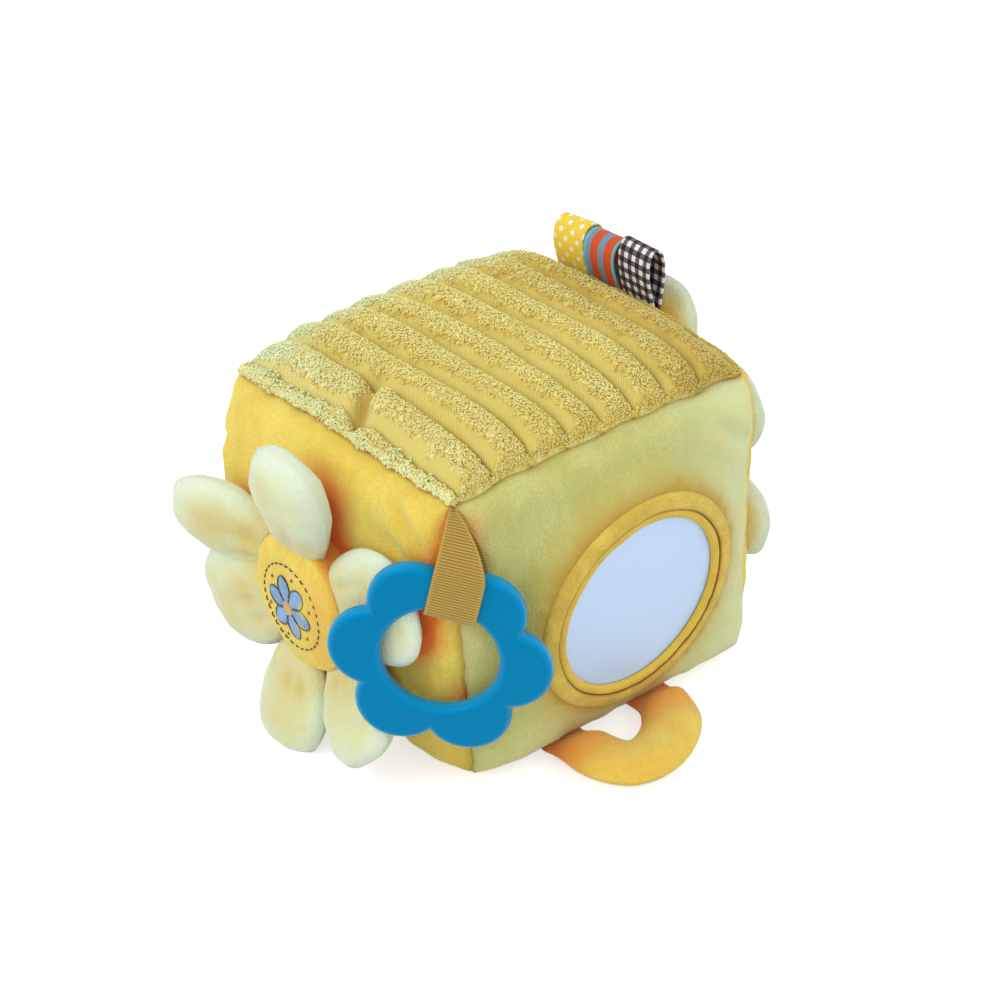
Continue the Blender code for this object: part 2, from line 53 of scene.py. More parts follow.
BASE_DEPTH = 0.115
BASE_SHIFT = 0.0025
BASE_LIFT = 0.003
BASE_EDGE_SHARE = 0.25
SIDE_CROWN = 0.008
MIRROR_SIDE_CROWN = 0.0055
TOP_CROWN = 0.008
CROWN_POWER = 4
SEAM_BOW = 0.002
TOP_SEAM_BOW = 0.0035
BACK_LEFT_BOW = 0.005
FRONT_SEAM_SHIFT = 0.0035
FABRIC = 0.0016
COVER_HALVES = (TOP_WIDTH / 2, TOP_DEPTH / 2, HEIGHT / 2)

# The roll of plush on both sides of a seam, and the puckers that run away from it
COVER_STAND = 0.0018
ROLL_DEPTH = 0.0030
ROLL_WIDTH = 0.0095
BASE_ROLL_SHARE = 0.3
WANDER = 0.0005
WANDER_SIZE = 0.0060
WANDER_REACH = 0.007
SEAM_GROOVE = 0.0009
SEAM_GROOVE_WIDTH = 0.0013
PUFF = 0.0016
PUFF_RISE = 0.008
PUFF_REACH = 0.018
PUCKER = 0.0010
PUCKER_SIZE = 0.007
PUCKER_REACH = 0.009
LUMP = 0.0011
LUMP_SIZE = 0.024

# Panels of the cover: how fine their grids are, and each one's name, face, finish and CAD node
PANEL_CELLS = 120
PANEL_STEP = 12
PANEL_GRID_SHARE = 0.35
PANELS = (
    ("golden_panel_left", "left", "golden_velour", "flower_panel_left"),
    ("golden_panel_right", "right", "golden_velour", "flower_panel_right"),
    ("lemon_panel_front", "front", "lemon_velour", "mirror_panel_front"),
    ("lemon_panel_back", "back", "lemon_velour", "back_panel"),
    ("golden_panel_bottom", "bottom", "golden_velour", "bottom_panel"),
)
AXES = {"left": 0, "right": 0, "front": 1, "back": 1, "bottom": 2, "top": 2}
SIGNS = {"left": -1, "right": 1, "front": -1, "back": 1, "bottom": -1, "top": 1}

# Folds of the cover: face, ends as shares of the face, half width and depth
FOLDS = (
    ("left", (-0.62, 0.86), (-0.90, 0.55), 0.0030, 0.0022),
    ("left", (-0.45, 0.62), (-0.80, 0.52), 0.0042, 0.0016),
    ("front", (0.62, 0.86), (0.93, 0.52), 0.0030, 0.0020),
    ("front", (-0.86, 0.72), (-0.97, 0.40), 0.0032, 0.0020),
    ("left", (0.93, 0.62), (0.80, 0.58), 0.0030, 0.0025),
    ("top", (-1.00, -0.19), (-0.70, 0.02), 0.0038, 0.0064),
)
FOLD_END_SHARE = 0.12
FOLD_LIP_SHARE = 0.35
FOLD_LIP_PLACE = 1.8

# Places where the filling pushes the cover out: face, middle as shares of the face, radius, height
BULGES = (
    ("left", (0.78, 0.48), 0.022, 0.0034),
    ("left", (0.70, -0.20), 0.024, 0.0020),
    ("left", (-0.68, -0.80), 0.022, 0.0048),
    ("left", (0.10, -0.85), 0.024, 0.0030),
    ("front", (-0.76, -0.82), 0.020, 0.0052),
    ("front", (0.90, 0.78), 0.017, 0.0046),
    ("front", (0.88, -0.74), 0.018, 0.0042),
    ("right", (-0.88, 0.62), 0.020, 0.0030),
    ("right", (-0.86, -0.62), 0.020, 0.0036),
)
BULGE_SEAM_REACH = 0.004

# Shade in the nap where pieces lie close: its reach, its strength and start on each face, and how
# much of it the ring and its ribbon throw, which can swing away
SHADE_REACH = 0.015
SHADE_LIFT = 0.0012
SHADE_RAYS = 24
SHADE_CELLS = 40
SHADE_INSET = 0.985
GOLDEN_ANGLE = 2.399963
FACE_SHADES = {"left": (6.5, 0.10), "front": (2.6, 0.0)}
OTHER_SHADE = (3.6, 0.0)
RING_SHADE_SHARE = 0.5
CREASE_SHADE = 0.5
CREASE_WIDTH = 0.0012

# Two painted places: an orange glow of bounced light beside the ribbon's top corner, and shade by the
# ring on the left face. Each has a face, a middle as shares of it, and reaches across and up
PAINTED_GLOW_CORNER = ("front", (-0.93, 0.76), (0.0045, 0.0085))
PAINTED_RING_SHADOW = ("left", (-0.55, 0.62), (0.009, 0.011))

# Terry ribs on the top, which run along Y, and the tufts and yarns of their pile
RIB_PITCH = 0.0142
RIB_FIRST = 0.0115
RIB_HEIGHT = 0.0047
RIB_WIDTH = 0.0130
RIB_WANDER = 0.0006
RIB_ROUND_POWER = 0.7
RIB_END_POWER = 42
RIB_SIDE_POWER = 30
TERRY_SPACING = 0.00027
TERRY_STEP = 16
TUFT_SPACING = 0.00090
TUFT_RADIUS = 0.00044
TUFT_BEND = 0.00030
TUFT_STAND = 0.0003
TUFT_HEIGHT_SHARE = 1.7
PILE_CELL = 0.0008
PILE_DEPTH = 0.0009
YARN_RADIUS = 0.00027
YARN_BEND = 0.00031
YARN_STEPS = 6
YARN_SIDES = 4
YARN_SHARE = 1.9
EDGE_YARNS = 3600
EDGE_YARN_SCALE = 1.25
EDGE_YARN_REACH = 0.08
EDGE_YARN_WAY = (-0.55, 0, 0.85)

# Mirror and its padded ring
MIRROR_X = 0.0036
MIRROR_Z = 0.054
MIRROR_REACH = 0.07198
MIRROR_TILT = math.radians(7.0)
MIRROR_YAW = math.radians(0.7)
MIRROR_VIEW_RADIUS = 0.0331
MIRROR_LIP = 0.0019
MIRROR_BED_DEPTH = 0.0024
MIRROR_RING_BED_DEPTH = 0.0004
MIRROR_RING_BED_REACH = 0.006
MIRROR_BED_RADIUS = 0.0416
MIRROR_BED_BLEND = 0.013
MIRROR_HEM = 0.003
MIRROR_HEM_REACH = 0.012
FRAME_WIDTH = 0.0092
FRAME_LIP_WIDTH = 0.0034
FRAME_ROLL = 0.0028
FRAME_SKIRT = 0.009
FRAME_SEAT = 0.0004
FRAME_AROUND = 168
FRAME_STITCH = 0.00012
LIP_STEPS = 8
ROLL_STEPS = 16

# Flowers
FLOWER_Y = 0.0017
FLOWER_Z = 0.0575
FLOWER_RADIUS = 0.0254
FLOWER_DEPTH = 0.0183
FLOWER_RIM_DEPTH = 0.0133
FLOWER_AROUND = 120
FLOWER_STEPS = 16
PETAL_RING_RADIUS = 0.0252
PETAL_STAND = 0.0085
PETAL_LENGTH = 0.041
PETAL_WIDTH = 0.0325
PETAL_THICKNESS = 0.0150
PETAL_CUP = 0.001
PETAL_ROOT_SHARE = 0.93
PETAL_TUCK = 0.0050
PETAL_TAPER_SHARE = 0.6
PETAL_MIDDLE_SHARE = 0.48
PETAL_RIM = 0.0006
PETAL_CREASE = 0.0020
PETAL_CREASE_FADE = 0.008
PETAL_FLOOR_SQUASH = 0.0035
PETAL_AROUND = 128
PETAL_STEPS = 20
# How much golden painted shade each petal's middle gets
PETAL_MIDDLE_SHADE = (0.40, 0.45, 0.45, 0.45, 0.75, 1.0)
# For each petal: its turn, skew and tilt in degrees, its shares of the length, width and thickness,
# its roll in degrees, and how far it has been pushed
LEFT_PETALS = (
    (8, 6.4, 11.6, 1.06, 1.00, 1.14, 8.5, (-0.0036, 0.0025, 0.0003)),
    (69, -1, -10, 0.86, 1.27, 0.74, -1, (-0.0013, 0.0010, -0.0014)),
    (138, -4, 21, 0.87, 1.04, 1.05, -15, (0.0017, -0.0012, 0.0)),
    (190, -10.5, 15, 0.86, 1.02, 0.85, -4, (-0.0042, 0.0010, -0.0023)),
    (242, 6.2, 2, 0.92, 1.22, 0.90, -6, (-0.0015, 0.0012, 0.0007)),
    (293, -6, 24, 0.97, 1.00, 1.00, -3.5, (0.0010, 0.0004, 0.0013)),
)
RIGHT_PETALS = (
    (4, 0, 7, 1.00, 1.00, 0.82, 0, (-0.0035, 0.0, 0.0)),
    (52, 0, 1, 0.92, 1.08, 0.78, 0, (-0.0020, -0.0010, 0.0)),
    (106, 0, 0, 0.88, 1.02, 0.82, 0, (-0.0035, 0.0, 0.0)),
    (168, 0, 16, 0.92, 1.00, 0.78, 0, (-0.0025, 0.0, 0.0)),
    (230, 0, 14, 0.95, 1.00, 0.82, 0, (-0.0025, 0.0, 0.0)),
    (296, 0, 8, 0.97, 1.00, 0.82, 0, (-0.0030, 0.0, 0.0)),
)

# Stitched blossom on the first flower
BLOSSOM_REACH = 0.0070
BLOSSOM_LENGTH = 0.0046
BLOSSOM_WIDTH = 0.0033
BLOSSOM_PETALS = 6
BLOSSOM_TURN = 0.3
BLOSSOM_MIDDLE = 0.0027
KNOT_RING = 0.0125
KNOT_RADIUS = 0.00035
STITCH_RING = 0.0160
STITCHES = 32
THREAD_RADIUS = 0.00030
THIN_THREAD_RADIUS = 0.00026
KNOT_THREAD_RADIUS = 0.00028

# Corner ribbon and ring
RIBBON_WIDTH = 0.0172
RIBBON_THICKNESS = 0.0008
RIBBON_DROP = 0.0377
RIBBON_FLARE = 0.019
RIBBON_NECK = 0.003
RIBBON_SKEW = math.radians(15)
RIBBON_APEX_OFFSET = 0.001
RIBBON_APEX_STAND = 0.0006
RIBBON_BACK_STAND = 0.0009
GROSGRAIN_PITCH = 0.00105
GROSGRAIN_HEIGHT = 0.00016
SELVEDGE_INSET = 0.0004
SELVEDGE_WIDTH = 0.0006
RING_HOLE_RADIUS = 0.0197
RING_LOBES = 6
RING_LOBE_RADIUS = 0.0151
RING_LOBE_CENTRES = 0.0224
RING_THICKNESS = 0.0064
RING_EDGE_RADIUS = 0.0024
RING_CLEARANCE = 0.0004
RING_TURN = math.radians(5)
RING_LOBE_STEPS = 28
RING_EDGE_STEPS = 8

# Ribbon tags: each one's place along the seam, shares of the height and of the opening, and its
# degrees of lean outwards and back
TAG_WIDTH = 0.0160
TAG_HEIGHT = 0.0240
TAG_OPENING = 0.0090
TAG_THICKNESS = 0.0007
TAG_SEAT = 0.00075
TAG_FOOT = 0.0016
TAG_RIB_HEIGHT = 0.00004
TAG_SHARES = {
    "tag_dotted": (0.490, 0.90, 0.95, 6, 3),
    "tag_striped": (0.205, 0.88, 1.00, 3, 2),
    "tag_gingham": (-0.090, 1.00, 0.70, 1, 1),
}
DOT_PITCH = 0.0062
DOT_RADIUS = 0.00095
GINGHAM_PITCH = 0.0020
GINGHAM_EDGE = 0.00005

# Handle
HANDLE_X = -0.004
HANDLE_SPAN = 0.0385
HANDLE_REACH = 0.0310
HANDLE_SKEW = 0.0065
HANDLE_BAND = 0.0205
HANDLE_THICKNESS = 0.0115
HANDLE_END_SHARE = 0.85
HANDLE_PINCH_SHARE = 0.25
HANDLE_PINCH_LENGTH = 0.014
HANDLE_HINGE_STAND = 0.0012
HANDLE_TAPER_SHARE = 0.6
HANDLE_BEND_POWER = 0.8
HANDLE_TUCK = 0.0035
HANDLE_SHADE_START = 0.003
HANDLE_SHADE_REACH = 0.033
HANDLE_AROUND = 64
HANDLE_STEPS = 150

# Colours of the plush and the terry
GOLD = (0.95, 0.735, 0.145)
# Painted shade in the golden plush's gaps and creases, orange-red like light bounced there
GOLD_PAINTED_SHADE = (1.0, 0.17, 0.018)
LEMON = (0.66, 0.67, 0.245)
# Painted shade and painted light on the lemon plush
LEMON_PAINTED_SHADE = (0.58, 0.38, 0.060)
LEMON_PAINTED_LIGHT = (0.75, 0.83, 0.45)
PETAL = (0.79, 0.85, 0.52)
# Painted shade on the petals, and their painted light rim
PETAL_PAINTED_SHADE = (0.72, 0.58, 0.18)
PETAL_RIM_PAINTED_LIGHT = (0.80, 0.93, 0.76)
# A painted orange glow of light bounced into a corner
PAINTED_GLOW = (0.98, 0.20, 0.025)
TERRY_GROUND = ((0.64, 0.50, 0.115), (0.80, 0.70, 0.22))
# The colour low in the pile, darker as painted shade
TERRY_PILE_SHADE = (0.76, 0.57, 0.12)
TERRY_TIPS = ((0.87, 0.80, 0.29), (0.91, 0.87, 0.36))
# A painted sheen on the terry, and its painted shade
TERRY_PAINTED_SHEEN = (0.80, 0.93, 0.64)
TERRY_PAINTED_SHADE = (0.46, 0.27, 0.03)

# Colours of the felt, the plastic, the mirror, the ribbons and the threads
FELT = ((0.70, 0.49, 0.085), (0.82, 0.61, 0.115))
FELT_WORN = (0.50, 0.28, 0.035)
FELT_PALE = (0.86, 0.57, 0.065)
# Painted shade in the felt ring's groove and under it
FELT_PAINTED_SHADE = (0.20, 0.075, 0.008)
BLUE = ((0.0, 0.187, 0.40), (0.0, 0.222, 0.45))
# A painted highlight round the ring's edges
BLUE_PAINTED_HIGHLIGHT = (0.015, 0.38, 0.75)
BLUE_SHINE = (0.0, 0.45, 1.0, 1)
# A painted reflection of a pale blue surround, with darker marks
MIRROR_PAINTED_REFLECTION = (0.56, 0.73, 1.0)
MIRROR_MARKS = (0.46, 0.62, 0.92)
RIBBON_GOLD = (0.46, 0.28, 0.030)
RIBBON_SELVEDGE = (0.52, 0.34, 0.048)
BLACK = (0, 0, 0)
SATIN = (0.93, 0.66, 0.055)
DOT_WHITE = (0.90, 0.92, 0.86)
STRIPE_ORANGE = (0.68, 0.085, 0.012, 1)
STRIPE_BLUE = (0.17, 0.31, 0.46, 1)
STRIPE_EDGE = (0.16, 0.50, 0.58, 1)
CHECKS = ((0.85, 0.86, 0.86, 1), (0.14, 0.11, 0.12, 1), (0.012, 0.008, 0.010, 1))
THREADS = {
    "dark_thread": (0.015, 0.012, 0.012),
    "blue_thread": (0.30, 0.52, 0.85),
    "tan_thread": (0.72, 0.46, 0.10),
    "red_thread": (0.70, 0.05, 0.02),
}

# How far light of each colour goes into the plush, the petals and the terry
PLUSH_GLOW = (0.0070, 0.0018, 0.0007)
PETAL_GLOW = (0.0035, 0.0028, 0.0014)
TERRY_GLOW = (0.0024, 0.0020, 0.0009)

# Sizes of the grain in the materials, and the pitch of the terry's woven ground
NAP_GRAIN = 0.0006
NAP_STREAK = 0.0022
NAP_PATCH = 0.013
NAP_RELIEF = 0.0007
TERRY_PATCH = 0.012
TERRY_TWIST = 0.00035
WEAVE_PITCH = 0.00055
WEAVE_TURN = math.radians(40)
FELT_FIBRE = 0.0007
FELT_PATCH = 0.010
THREAD_GRAIN = 0.0004
RIBBON_GRAIN = 0.0005
THREAD_RELIEF = 0.0002

# Camera, fitted to the photograph
CAMERA_PLACE = (-0.4686, -0.6307, 0.5527)
CAMERA_AZIMUTH = math.radians(-36.69)
CAMERA_ELEVATION = math.radians(31.93)
CAMERA_ROLL = -0.0602802
CAMERA_LENS = 93.6

# Stage: the world's and the floor's brightness, and each light's place, size and watts
WORLD_LIGHT = 0.75
FLOOR_HALF = 6.0
FLOOR_GREY = (0.75, 0.75, 0.75, 1)
FLOOR_GLOW = 0.62
LIGHTS_AIM = Vector((0, 0, 0.06))
LIGHTS = (
    ("key_light", (-0.95, 0.15, 1.0), 0.9, 4.8),
    ("front_light", (-0.9, -0.8, 0.8), 1.2, 2.5),
    ("fill_light", (0.9, -0.9, 0.9), 1.2, 3.6),
)


# The finishes by name.
FINISHES = {}


def mix(low, high, share):
    return low + (high - low) * share


def smooth_step(share):
    share = np.clip(share, 0, 1)
    return share * share * (3 - 2 * share)


def lumps(points, size, seed):
    """Smooth noise from about -1 to 1 at each point, with lumps of this size."""
    shift = Vector((seed * 7.31, seed * 3.17, seed * 5.73))
    flat = np.asarray(points, float).reshape(-1, 3) / size
    values = [noise.noise(Vector(point) + shift) for point in flat]
    return np.array(values).reshape(np.shape(points)[:-1])


def unit(vectors):
    return vectors / np.maximum(np.linalg.norm(vectors, axis=-1, keepdims=True), 1e-12)


def matrix_of(axes, place):
    """A matrix with these three axes, at this place."""
    return Matrix.Translation(place) @ Matrix(axes).transposed().to_4x4()


def moved_by(matrix, points):
    turn = np.array(matrix.to_3x3())
    return np.asarray(points) @ turn.T + np.array(matrix.translation)


def lengths_along(points):
    """How far along a line of points each one lies."""
    return np.concatenate(([0], np.cumsum(np.linalg.norm(np.diff(points, axis=0), axis=1))))


def swell(share):
    """How full a panel is: 1 at its middle and 0 at its seams."""
    return 1 - np.abs(share) ** CROWN_POWER


def base_flat(a, b):
    """How far the bottom reaches down to the floor: 1 but near its seams."""
    share = np.minimum(1, (1 - np.maximum(np.abs(a), np.abs(b))) / BASE_EDGE_SHARE)
    return share * (2 - share)


def on_cube(face, u, v):
    """Where a face's two shares lie on the cube from -1 to 1."""
    place = [u, v]
    place.insert(AXES[face], np.full_like(u, SIGNS[face]))
    return place


def face_out(face):
    out = np.zeros(3)
    out[AXES[face]] = SIGNS[face]
    return out


def face_halves(face):
    """Half of a face's size along each of its two shares."""
    return [half for axis, half in enumerate(COVER_HALVES) if axis != AXES[face]]


def from_seams(face, u, v):
    """The distance of each point of a face to its nearest seam."""
    across, up = face_halves(face)
    return np.minimum((1 - np.abs(u)) * across, (1 - np.abs(v)) * up)


def spot(face, u, v, middle, reaches):
    """1 at a place on a face, fading away from it within these reaches across and up."""
    across, up = face_halves(face)
    off = np.hypot((u - middle[0]) * across / reaches[0], (v - middle[1]) * up / reaches[1])
    return np.exp(-(off**2))


def cover_points(face, u, v, inset=0.0):
    """Points of the cover on one face, this far under its outer side, without its fine relief."""
    a, b, c = on_cube(face, u, v)
    up = (c + 1) / 2
    half_width = mix(BASE_WIDTH, TOP_WIDTH, up) / 2 - inset
    half_depth = mix(BASE_DEPTH, TOP_DEPTH, up) / 2 - inset
    x = BASE_SHIFT * (1 - up) + a * (half_width + SEAM_BOW * (1 - (b * c) ** 2))
    y = b * (half_depth + SEAM_BOW * (1 - (a * c) ** 2))
    z = mix(BASE_LIFT + inset, HEIGHT - inset, up)
    z = z + np.maximum(c, 0) * TOP_SEAM_BOW * (1 - (a * b) ** 2)
    back_left = BACK_LEFT_BOW * (1 - a) / 2 * (1 + b) / 2 * (1 - c**2)
    front_left = FRONT_SEAM_SHIFT * ((1 - a) / 2) ** 3 * ((1 - b) / 2) ** 3 * (1 - up)
    x = x - back_left - front_left
    y = y + back_left + front_left
    if AXES[face] == 0:
        x = x + SIGNS[face] * SIDE_CROWN * swell(b) * swell(c)
    if AXES[face] == 1:
        y = y + SIGNS[face] * MIRROR_SIDE_CROWN * swell(a) * swell(c)
    if face == "top":
        z = z + TOP_CROWN * swell(a) * swell(b)
    if face == "bottom":
        z = z - BASE_LIFT * base_flat(a, b)
    return np.stack((x, y, z), axis=-1)


def seam_roll(face, u, v):
    """How the plush curls in towards the seams: a shift of each point, alike on both sides."""
    cube = on_cube(face, u, v)
    near = []
    for share, half in zip(cube, COVER_HALVES):
        from_seam = np.clip((1 - np.abs(share)) * half / ROLL_WIDTH, 0, 1)
        near.append(1 - np.sqrt(1 - (1 - from_seam) ** 2))
    shift = []
    for axis in range(3):
        others = [near[other] for other in range(3) if other != axis]
        shift.append(-np.sign(cube[axis]) * ROLL_DEPTH * near[axis] * np.maximum(*others))
    shift[2] = np.where(cube[2] < 0, shift[2] * BASE_ROLL_SHARE, shift[2])
    return np.stack(shift, axis=-1)


def seam_wander(face, u, v):
    """How the seams stray from their lines: a shift of each point, alike on both sides."""
    x, y, z = np.moveaxis(cover_points(face, u, v) / WANDER_SIZE, -1, 0)
    stray = np.stack((
        np.sin(1.1 * y + 1.7 * z + 0.4) * np.sin(0.7 * x + 2.1 * z + 1.0),
        np.sin(1.3 * x + 1.9 * z + 0.9) * np.sin(0.8 * x - 1.1 * y),
        np.sin(1.7 * x + 0.6 * y + 0.2) + 0.6 * np.sin(0.7 * x - 2.3 * y + 1.3),
    ), axis=-1)
    near = np.exp(-from_seams(face, u, v) / WANDER_REACH)
    return WANDER * stray * near[..., None]


def fold_depth(face, u, v):
    """How far the folds of a face sink below it. Each has a low lip along both of its sides."""
    across, up = face_halves(face)
    depth = np.zeros_like(u)
    for name, start, end, width, sink in FOLDS:
        if name != face:
            continue
        along_u, along_v = (end[0] - start[0]) * across, (end[1] - start[1]) * up
        from_u, from_v = (u - start[0]) * across, (v - start[1]) * up
        share = np.clip((from_u * along_u + from_v * along_v) / (along_u**2 + along_v**2), 0, 1)
        off = np.hypot(from_u - share * along_u, from_v - share * along_v)
        ends = np.sin(math.pi * np.clip(share, FOLD_END_SHARE, 1 - FOLD_END_SHARE))
        depth += sink * ends * np.exp(-((off / width) ** 2))
        lip = np.exp(-(((off - FOLD_LIP_PLACE * width) / width) ** 2))
        depth -= FOLD_LIP_SHARE * sink * ends * lip
    return depth


def bulge_height(face, u, v):
    """How far the filling pushes a face out at its bulges."""
    height = np.zeros_like(u)
    for name, middle, radius, rise in BULGES:
        if name == face:
            height += rise * spot(face, u, v, middle, (radius, radius))
    return height * (1 - np.exp(-from_seams(face, u, v) / BULGE_SEAM_REACH))


def mirror_matrix():
    """The mirror's middle, with X across it, Y up it and Z out of it."""
    across = Vector((math.cos(MIRROR_YAW), math.sin(MIRROR_YAW), 0))
    up = Vector((0, -math.sin(MIRROR_TILT), math.cos(MIRROR_TILT)))
    out = across.cross(up).normalized()
    return matrix_of((across, out.cross(across), out), (MIRROR_X, -MIRROR_REACH, MIRROR_Z))


def mirror_bed(points, relief):
    """The front's relief, with the swell that carries the mirror and its ring."""
    out = np.array(mirror_matrix().to_3x3().col[2])
    x, y, z = points[..., 0] - MIRROR_X, points[..., 1], points[..., 2] - MIRROR_Z
    off = np.hypot(x, z)
    ring_share = smooth_step((off - MIRROR_VIEW_RADIUS) / MIRROR_RING_BED_REACH)
    under = mix(MIRROR_BED_DEPTH, MIRROR_RING_BED_DEPTH, ring_share)
    bed = y + MIRROR_REACH + (x * out[0] + z * out[2]) / out[1] - under
    near = 1 - smooth_step((off - MIRROR_BED_RADIUS) / MIRROR_BED_BLEND)
    above_hem = smooth_step((points[..., 2] - MIRROR_HEM) / MIRROR_HEM_REACH)
    return mix(relief, bed, near * above_hem)


def plush_points(face, u, v, seed):
    """The outer side of a plush panel, with its rolled seams, puckers, folds and lumps."""
    points = cover_points(face, u, v, -COVER_STAND)
    off_seam = from_seams(face, u, v)
    rise = 1 - np.exp(-off_seam / SEAM_GROOVE_WIDTH)
    puff = PUFF * smooth_step(off_seam / PUFF_RISE) * np.exp(-((off_seam / PUFF_REACH) ** 2))
    pucker = PUCKER * rise * np.exp(-off_seam / PUCKER_REACH) * lumps(points, PUCKER_SIZE, seed)
    soft = LUMP * smooth_step(off_seam / LUMP_SIZE) * lumps(points, LUMP_SIZE, seed + 1)
    relief = puff + pucker + soft + bulge_height(face, u, v)
    relief = relief - SEAM_GROOVE * (1 - rise) - fold_depth(face, u, v)
    if face == "front":
        relief = mirror_bed(points, relief)
    points = points + seam_roll(face, u, v) + seam_wander(face, u, v)
    points = points + relief[..., None] * face_out(face)
    points[..., 2] = np.maximum(points[..., 2], 0.0)
    return points


def quads(columns, rows, first=0):
    """Faces of a grid of points stored column by column."""
    i, j = np.meshgrid(np.arange(columns - 1), np.arange(rows - 1), indexing="ij")
    corner = first + i * rows + j
    return np.stack((corner, corner + rows, corner + rows + 1, corner + 1), axis=-1).reshape(-1, 4)


def loft(rings, joined=False):
    """Points and faces of closed rings joined in order. Unless the last joins the first, the ends
    are filled."""
    count, around = rings.shape[:2]
    faces = []
    for ring in range(count if joined else count - 1):
        first = np.arange(around) + ring * around
        second = np.arange(around) + (ring + 1) % count * around
        sides = (first, np.roll(first, -1), np.roll(second, -1), second)
        faces += np.stack(sides, axis=-1).tolist()
    if not joined:
        faces.append(list(range(around))[::-1])
        faces.append(list(range((count - 1) * around, count * around)))
    return rings.reshape(-1, 3), faces


def plate(outer, inner, marks, step):
    """Points and faces of a closed plate between a fine outer grid and a coarse inner one, whose
    columns lie under the outer columns in marks and whose rows lie under every step-th row."""
    columns, rows = outer.shape[:2]
    inner_columns, inner_rows = inner.shape[:2]
    first = columns * rows
    faces = quads(columns, rows).tolist()
    faces += quads(inner_columns, inner_rows, first)[:, ::-1].tolist()

    def fine(i, j):
        return int(i * rows + j)

    def coarse(i, j):
        return first + i * inner_rows + j

    for j, end in ((0, 0), (rows - 1, inner_rows - 1)):
        for i in range(inner_columns - 1):
            edge = [fine(k, j) for k in range(marks[i], marks[i + 1] + 1)]
            faces.append([*edge, coarse(i + 1, end), coarse(i, end)])
    for i, end in ((0, 0), (columns - 1, inner_columns - 1)):
        for j in range(inner_rows - 1):
            edge = [fine(i, k) for k in range(j * step, (j + 1) * step + 1)]
            faces.append([*edge, coarse(end, j + 1), coarse(end, j)])
    return np.concatenate((outer.reshape(-1, 3), inner.reshape(-1, 3))), faces


def join_parts(parts):
    """Points and faces of several shapes as one."""
    points, faces, first = [], [], 0
    for part_points, part_faces in parts:
        points.append(part_points)
        faces += [[first + index for index in face] for face in part_faces]
        first += len(part_points)
    return np.concatenate(points), faces


def turn_rings(profile, steps):
    """Rings of points of a profile of (radius, height) turned round Z."""
    angles = np.linspace(0, 2 * math.pi, steps, endpoint=False)
    circle = np.stack((np.cos(angles), np.sin(angles)), axis=-1)
    return np.array([
        np.column_stack((radius * circle, np.full(steps, height))) for radius, height in profile
    ])


def grid_normals(points):
    """Unit normals of a grid of points, whichever way they face."""
    return unit(np.cross(np.gradient(points, axis=0), np.gradient(points, axis=1)))


def link(name, data):
    """A new object with this mesh, camera or light, in the scene."""
    made = bpy.data.objects.new(name, data)
    bpy.context.scene.collection.objects.link(made)
    return made


def piece(name, shape, finish, body="block", replaces=(), values=None, places=None):
    """A shaded mesh that rides on a body, from its points and faces. values are numbers for each
    point, and places are its places across and along a ribbon."""
    points, faces = shape
    built = bmesh.new()
    verts = [built.verts.new(point) for point in np.asarray(points, float).tolist()]
    for face in faces:
        built.faces.new([verts[index] for index in face])
    bmesh.ops.recalc_face_normals(built, faces=built.faces[:])
    if built.calc_volume(signed=True) < 0:
        bmesh.ops.reverse_faces(built, faces=built.faces[:])
    mesh = bpy.data.meshes.new(name)
    built.to_mesh(mesh)
    built.free()
    mesh.shade_smooth()
    for label, numbers in (values or {}).items():
        layer = mesh.attributes.new(label, "FLOAT", "POINT")
        full = np.zeros(len(mesh.vertices), np.float32)
        full[: np.size(numbers)] = np.ravel(numbers)
        layer.data.foreach_set("value", full)
    if places is not None:
        corners = np.zeros(len(mesh.loops), int)
        mesh.loops.foreach_get("vertex_index", corners)
        layer = mesh.uv_layers.new(name="cloth")
        flat = places.reshape(-1, 2)[corners]
        layer.data.foreach_set("uv", flat.astype(np.float32).ravel())
    mesh.materials.append(FINISHES[finish])
    made = link(name, mesh)
    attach(made, body)
    if replaces:
        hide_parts(*replaces)
    return made


def scaled(colour, share):
    """A colour times one share, or times a share for each channel."""
    return tuple(np.multiply(colour, share).tolist())


def new_material(name):
    """The nodes of a new material, which is kept under this name among the finishes."""
    FINISHES[name] = bpy.data.materials.new(name)
    FINISHES[name].use_nodes = True
    return FINISHES[name].node_tree


def fill(tree, made, sockets):
    """Give each of these sockets its value, or a link where the value is a socket."""
    for key, value in sockets.items():
        if isinstance(value, bpy.types.NodeSocket):
            tree.links.new(value, made.inputs[key])
        else:
            made.inputs[key].default_value = value
    return made


def node(tree, kind, sockets, **settings):
    """A new node with these settings, and a value or a link for each of these sockets."""
    made = tree.nodes.new(kind)
    for key, value in settings.items():
        setattr(made, key, value)
    return fill(tree, made, sockets)


def finish_with(tree, base, relief, sockets):
    """Give a material its base colour, its bump's height, distance and strength, and these
    sockets."""
    bump = node(tree, "ShaderNodeBump", dict(zip(("Height", "Distance", "Strength"), relief)))
    sockets = {"Base Color": base, "Normal": bump.outputs["Normal"], **sockets}
    fill(tree, tree.nodes["Principled BSDF"], sockets)


def noise_value(tree, size, detail=2.0, stretch=(1, 1, 1), rough=0.5):
    """A noise with grains of this size, drawn out along an axis by a smaller stretch."""
    place = node(tree, "ShaderNodeTexCoord", {}).outputs["Object"]
    scale = tuple(share / size for share in stretch)
    place = node(tree, "ShaderNodeMapping", {"Vector": place, "Scale": scale}).outputs["Vector"]
    sockets = {"Vector": place, "Scale": 1.0, "Detail": detail, "Roughness": rough}
    return node(tree, "ShaderNodeTexNoise", sockets).outputs["Fac"]


def math_value(tree, operation, first, second=0.0):
    made = node(tree, "ShaderNodeMath", {0: first, 1: second}, operation=operation)
    return made.outputs["Value"]


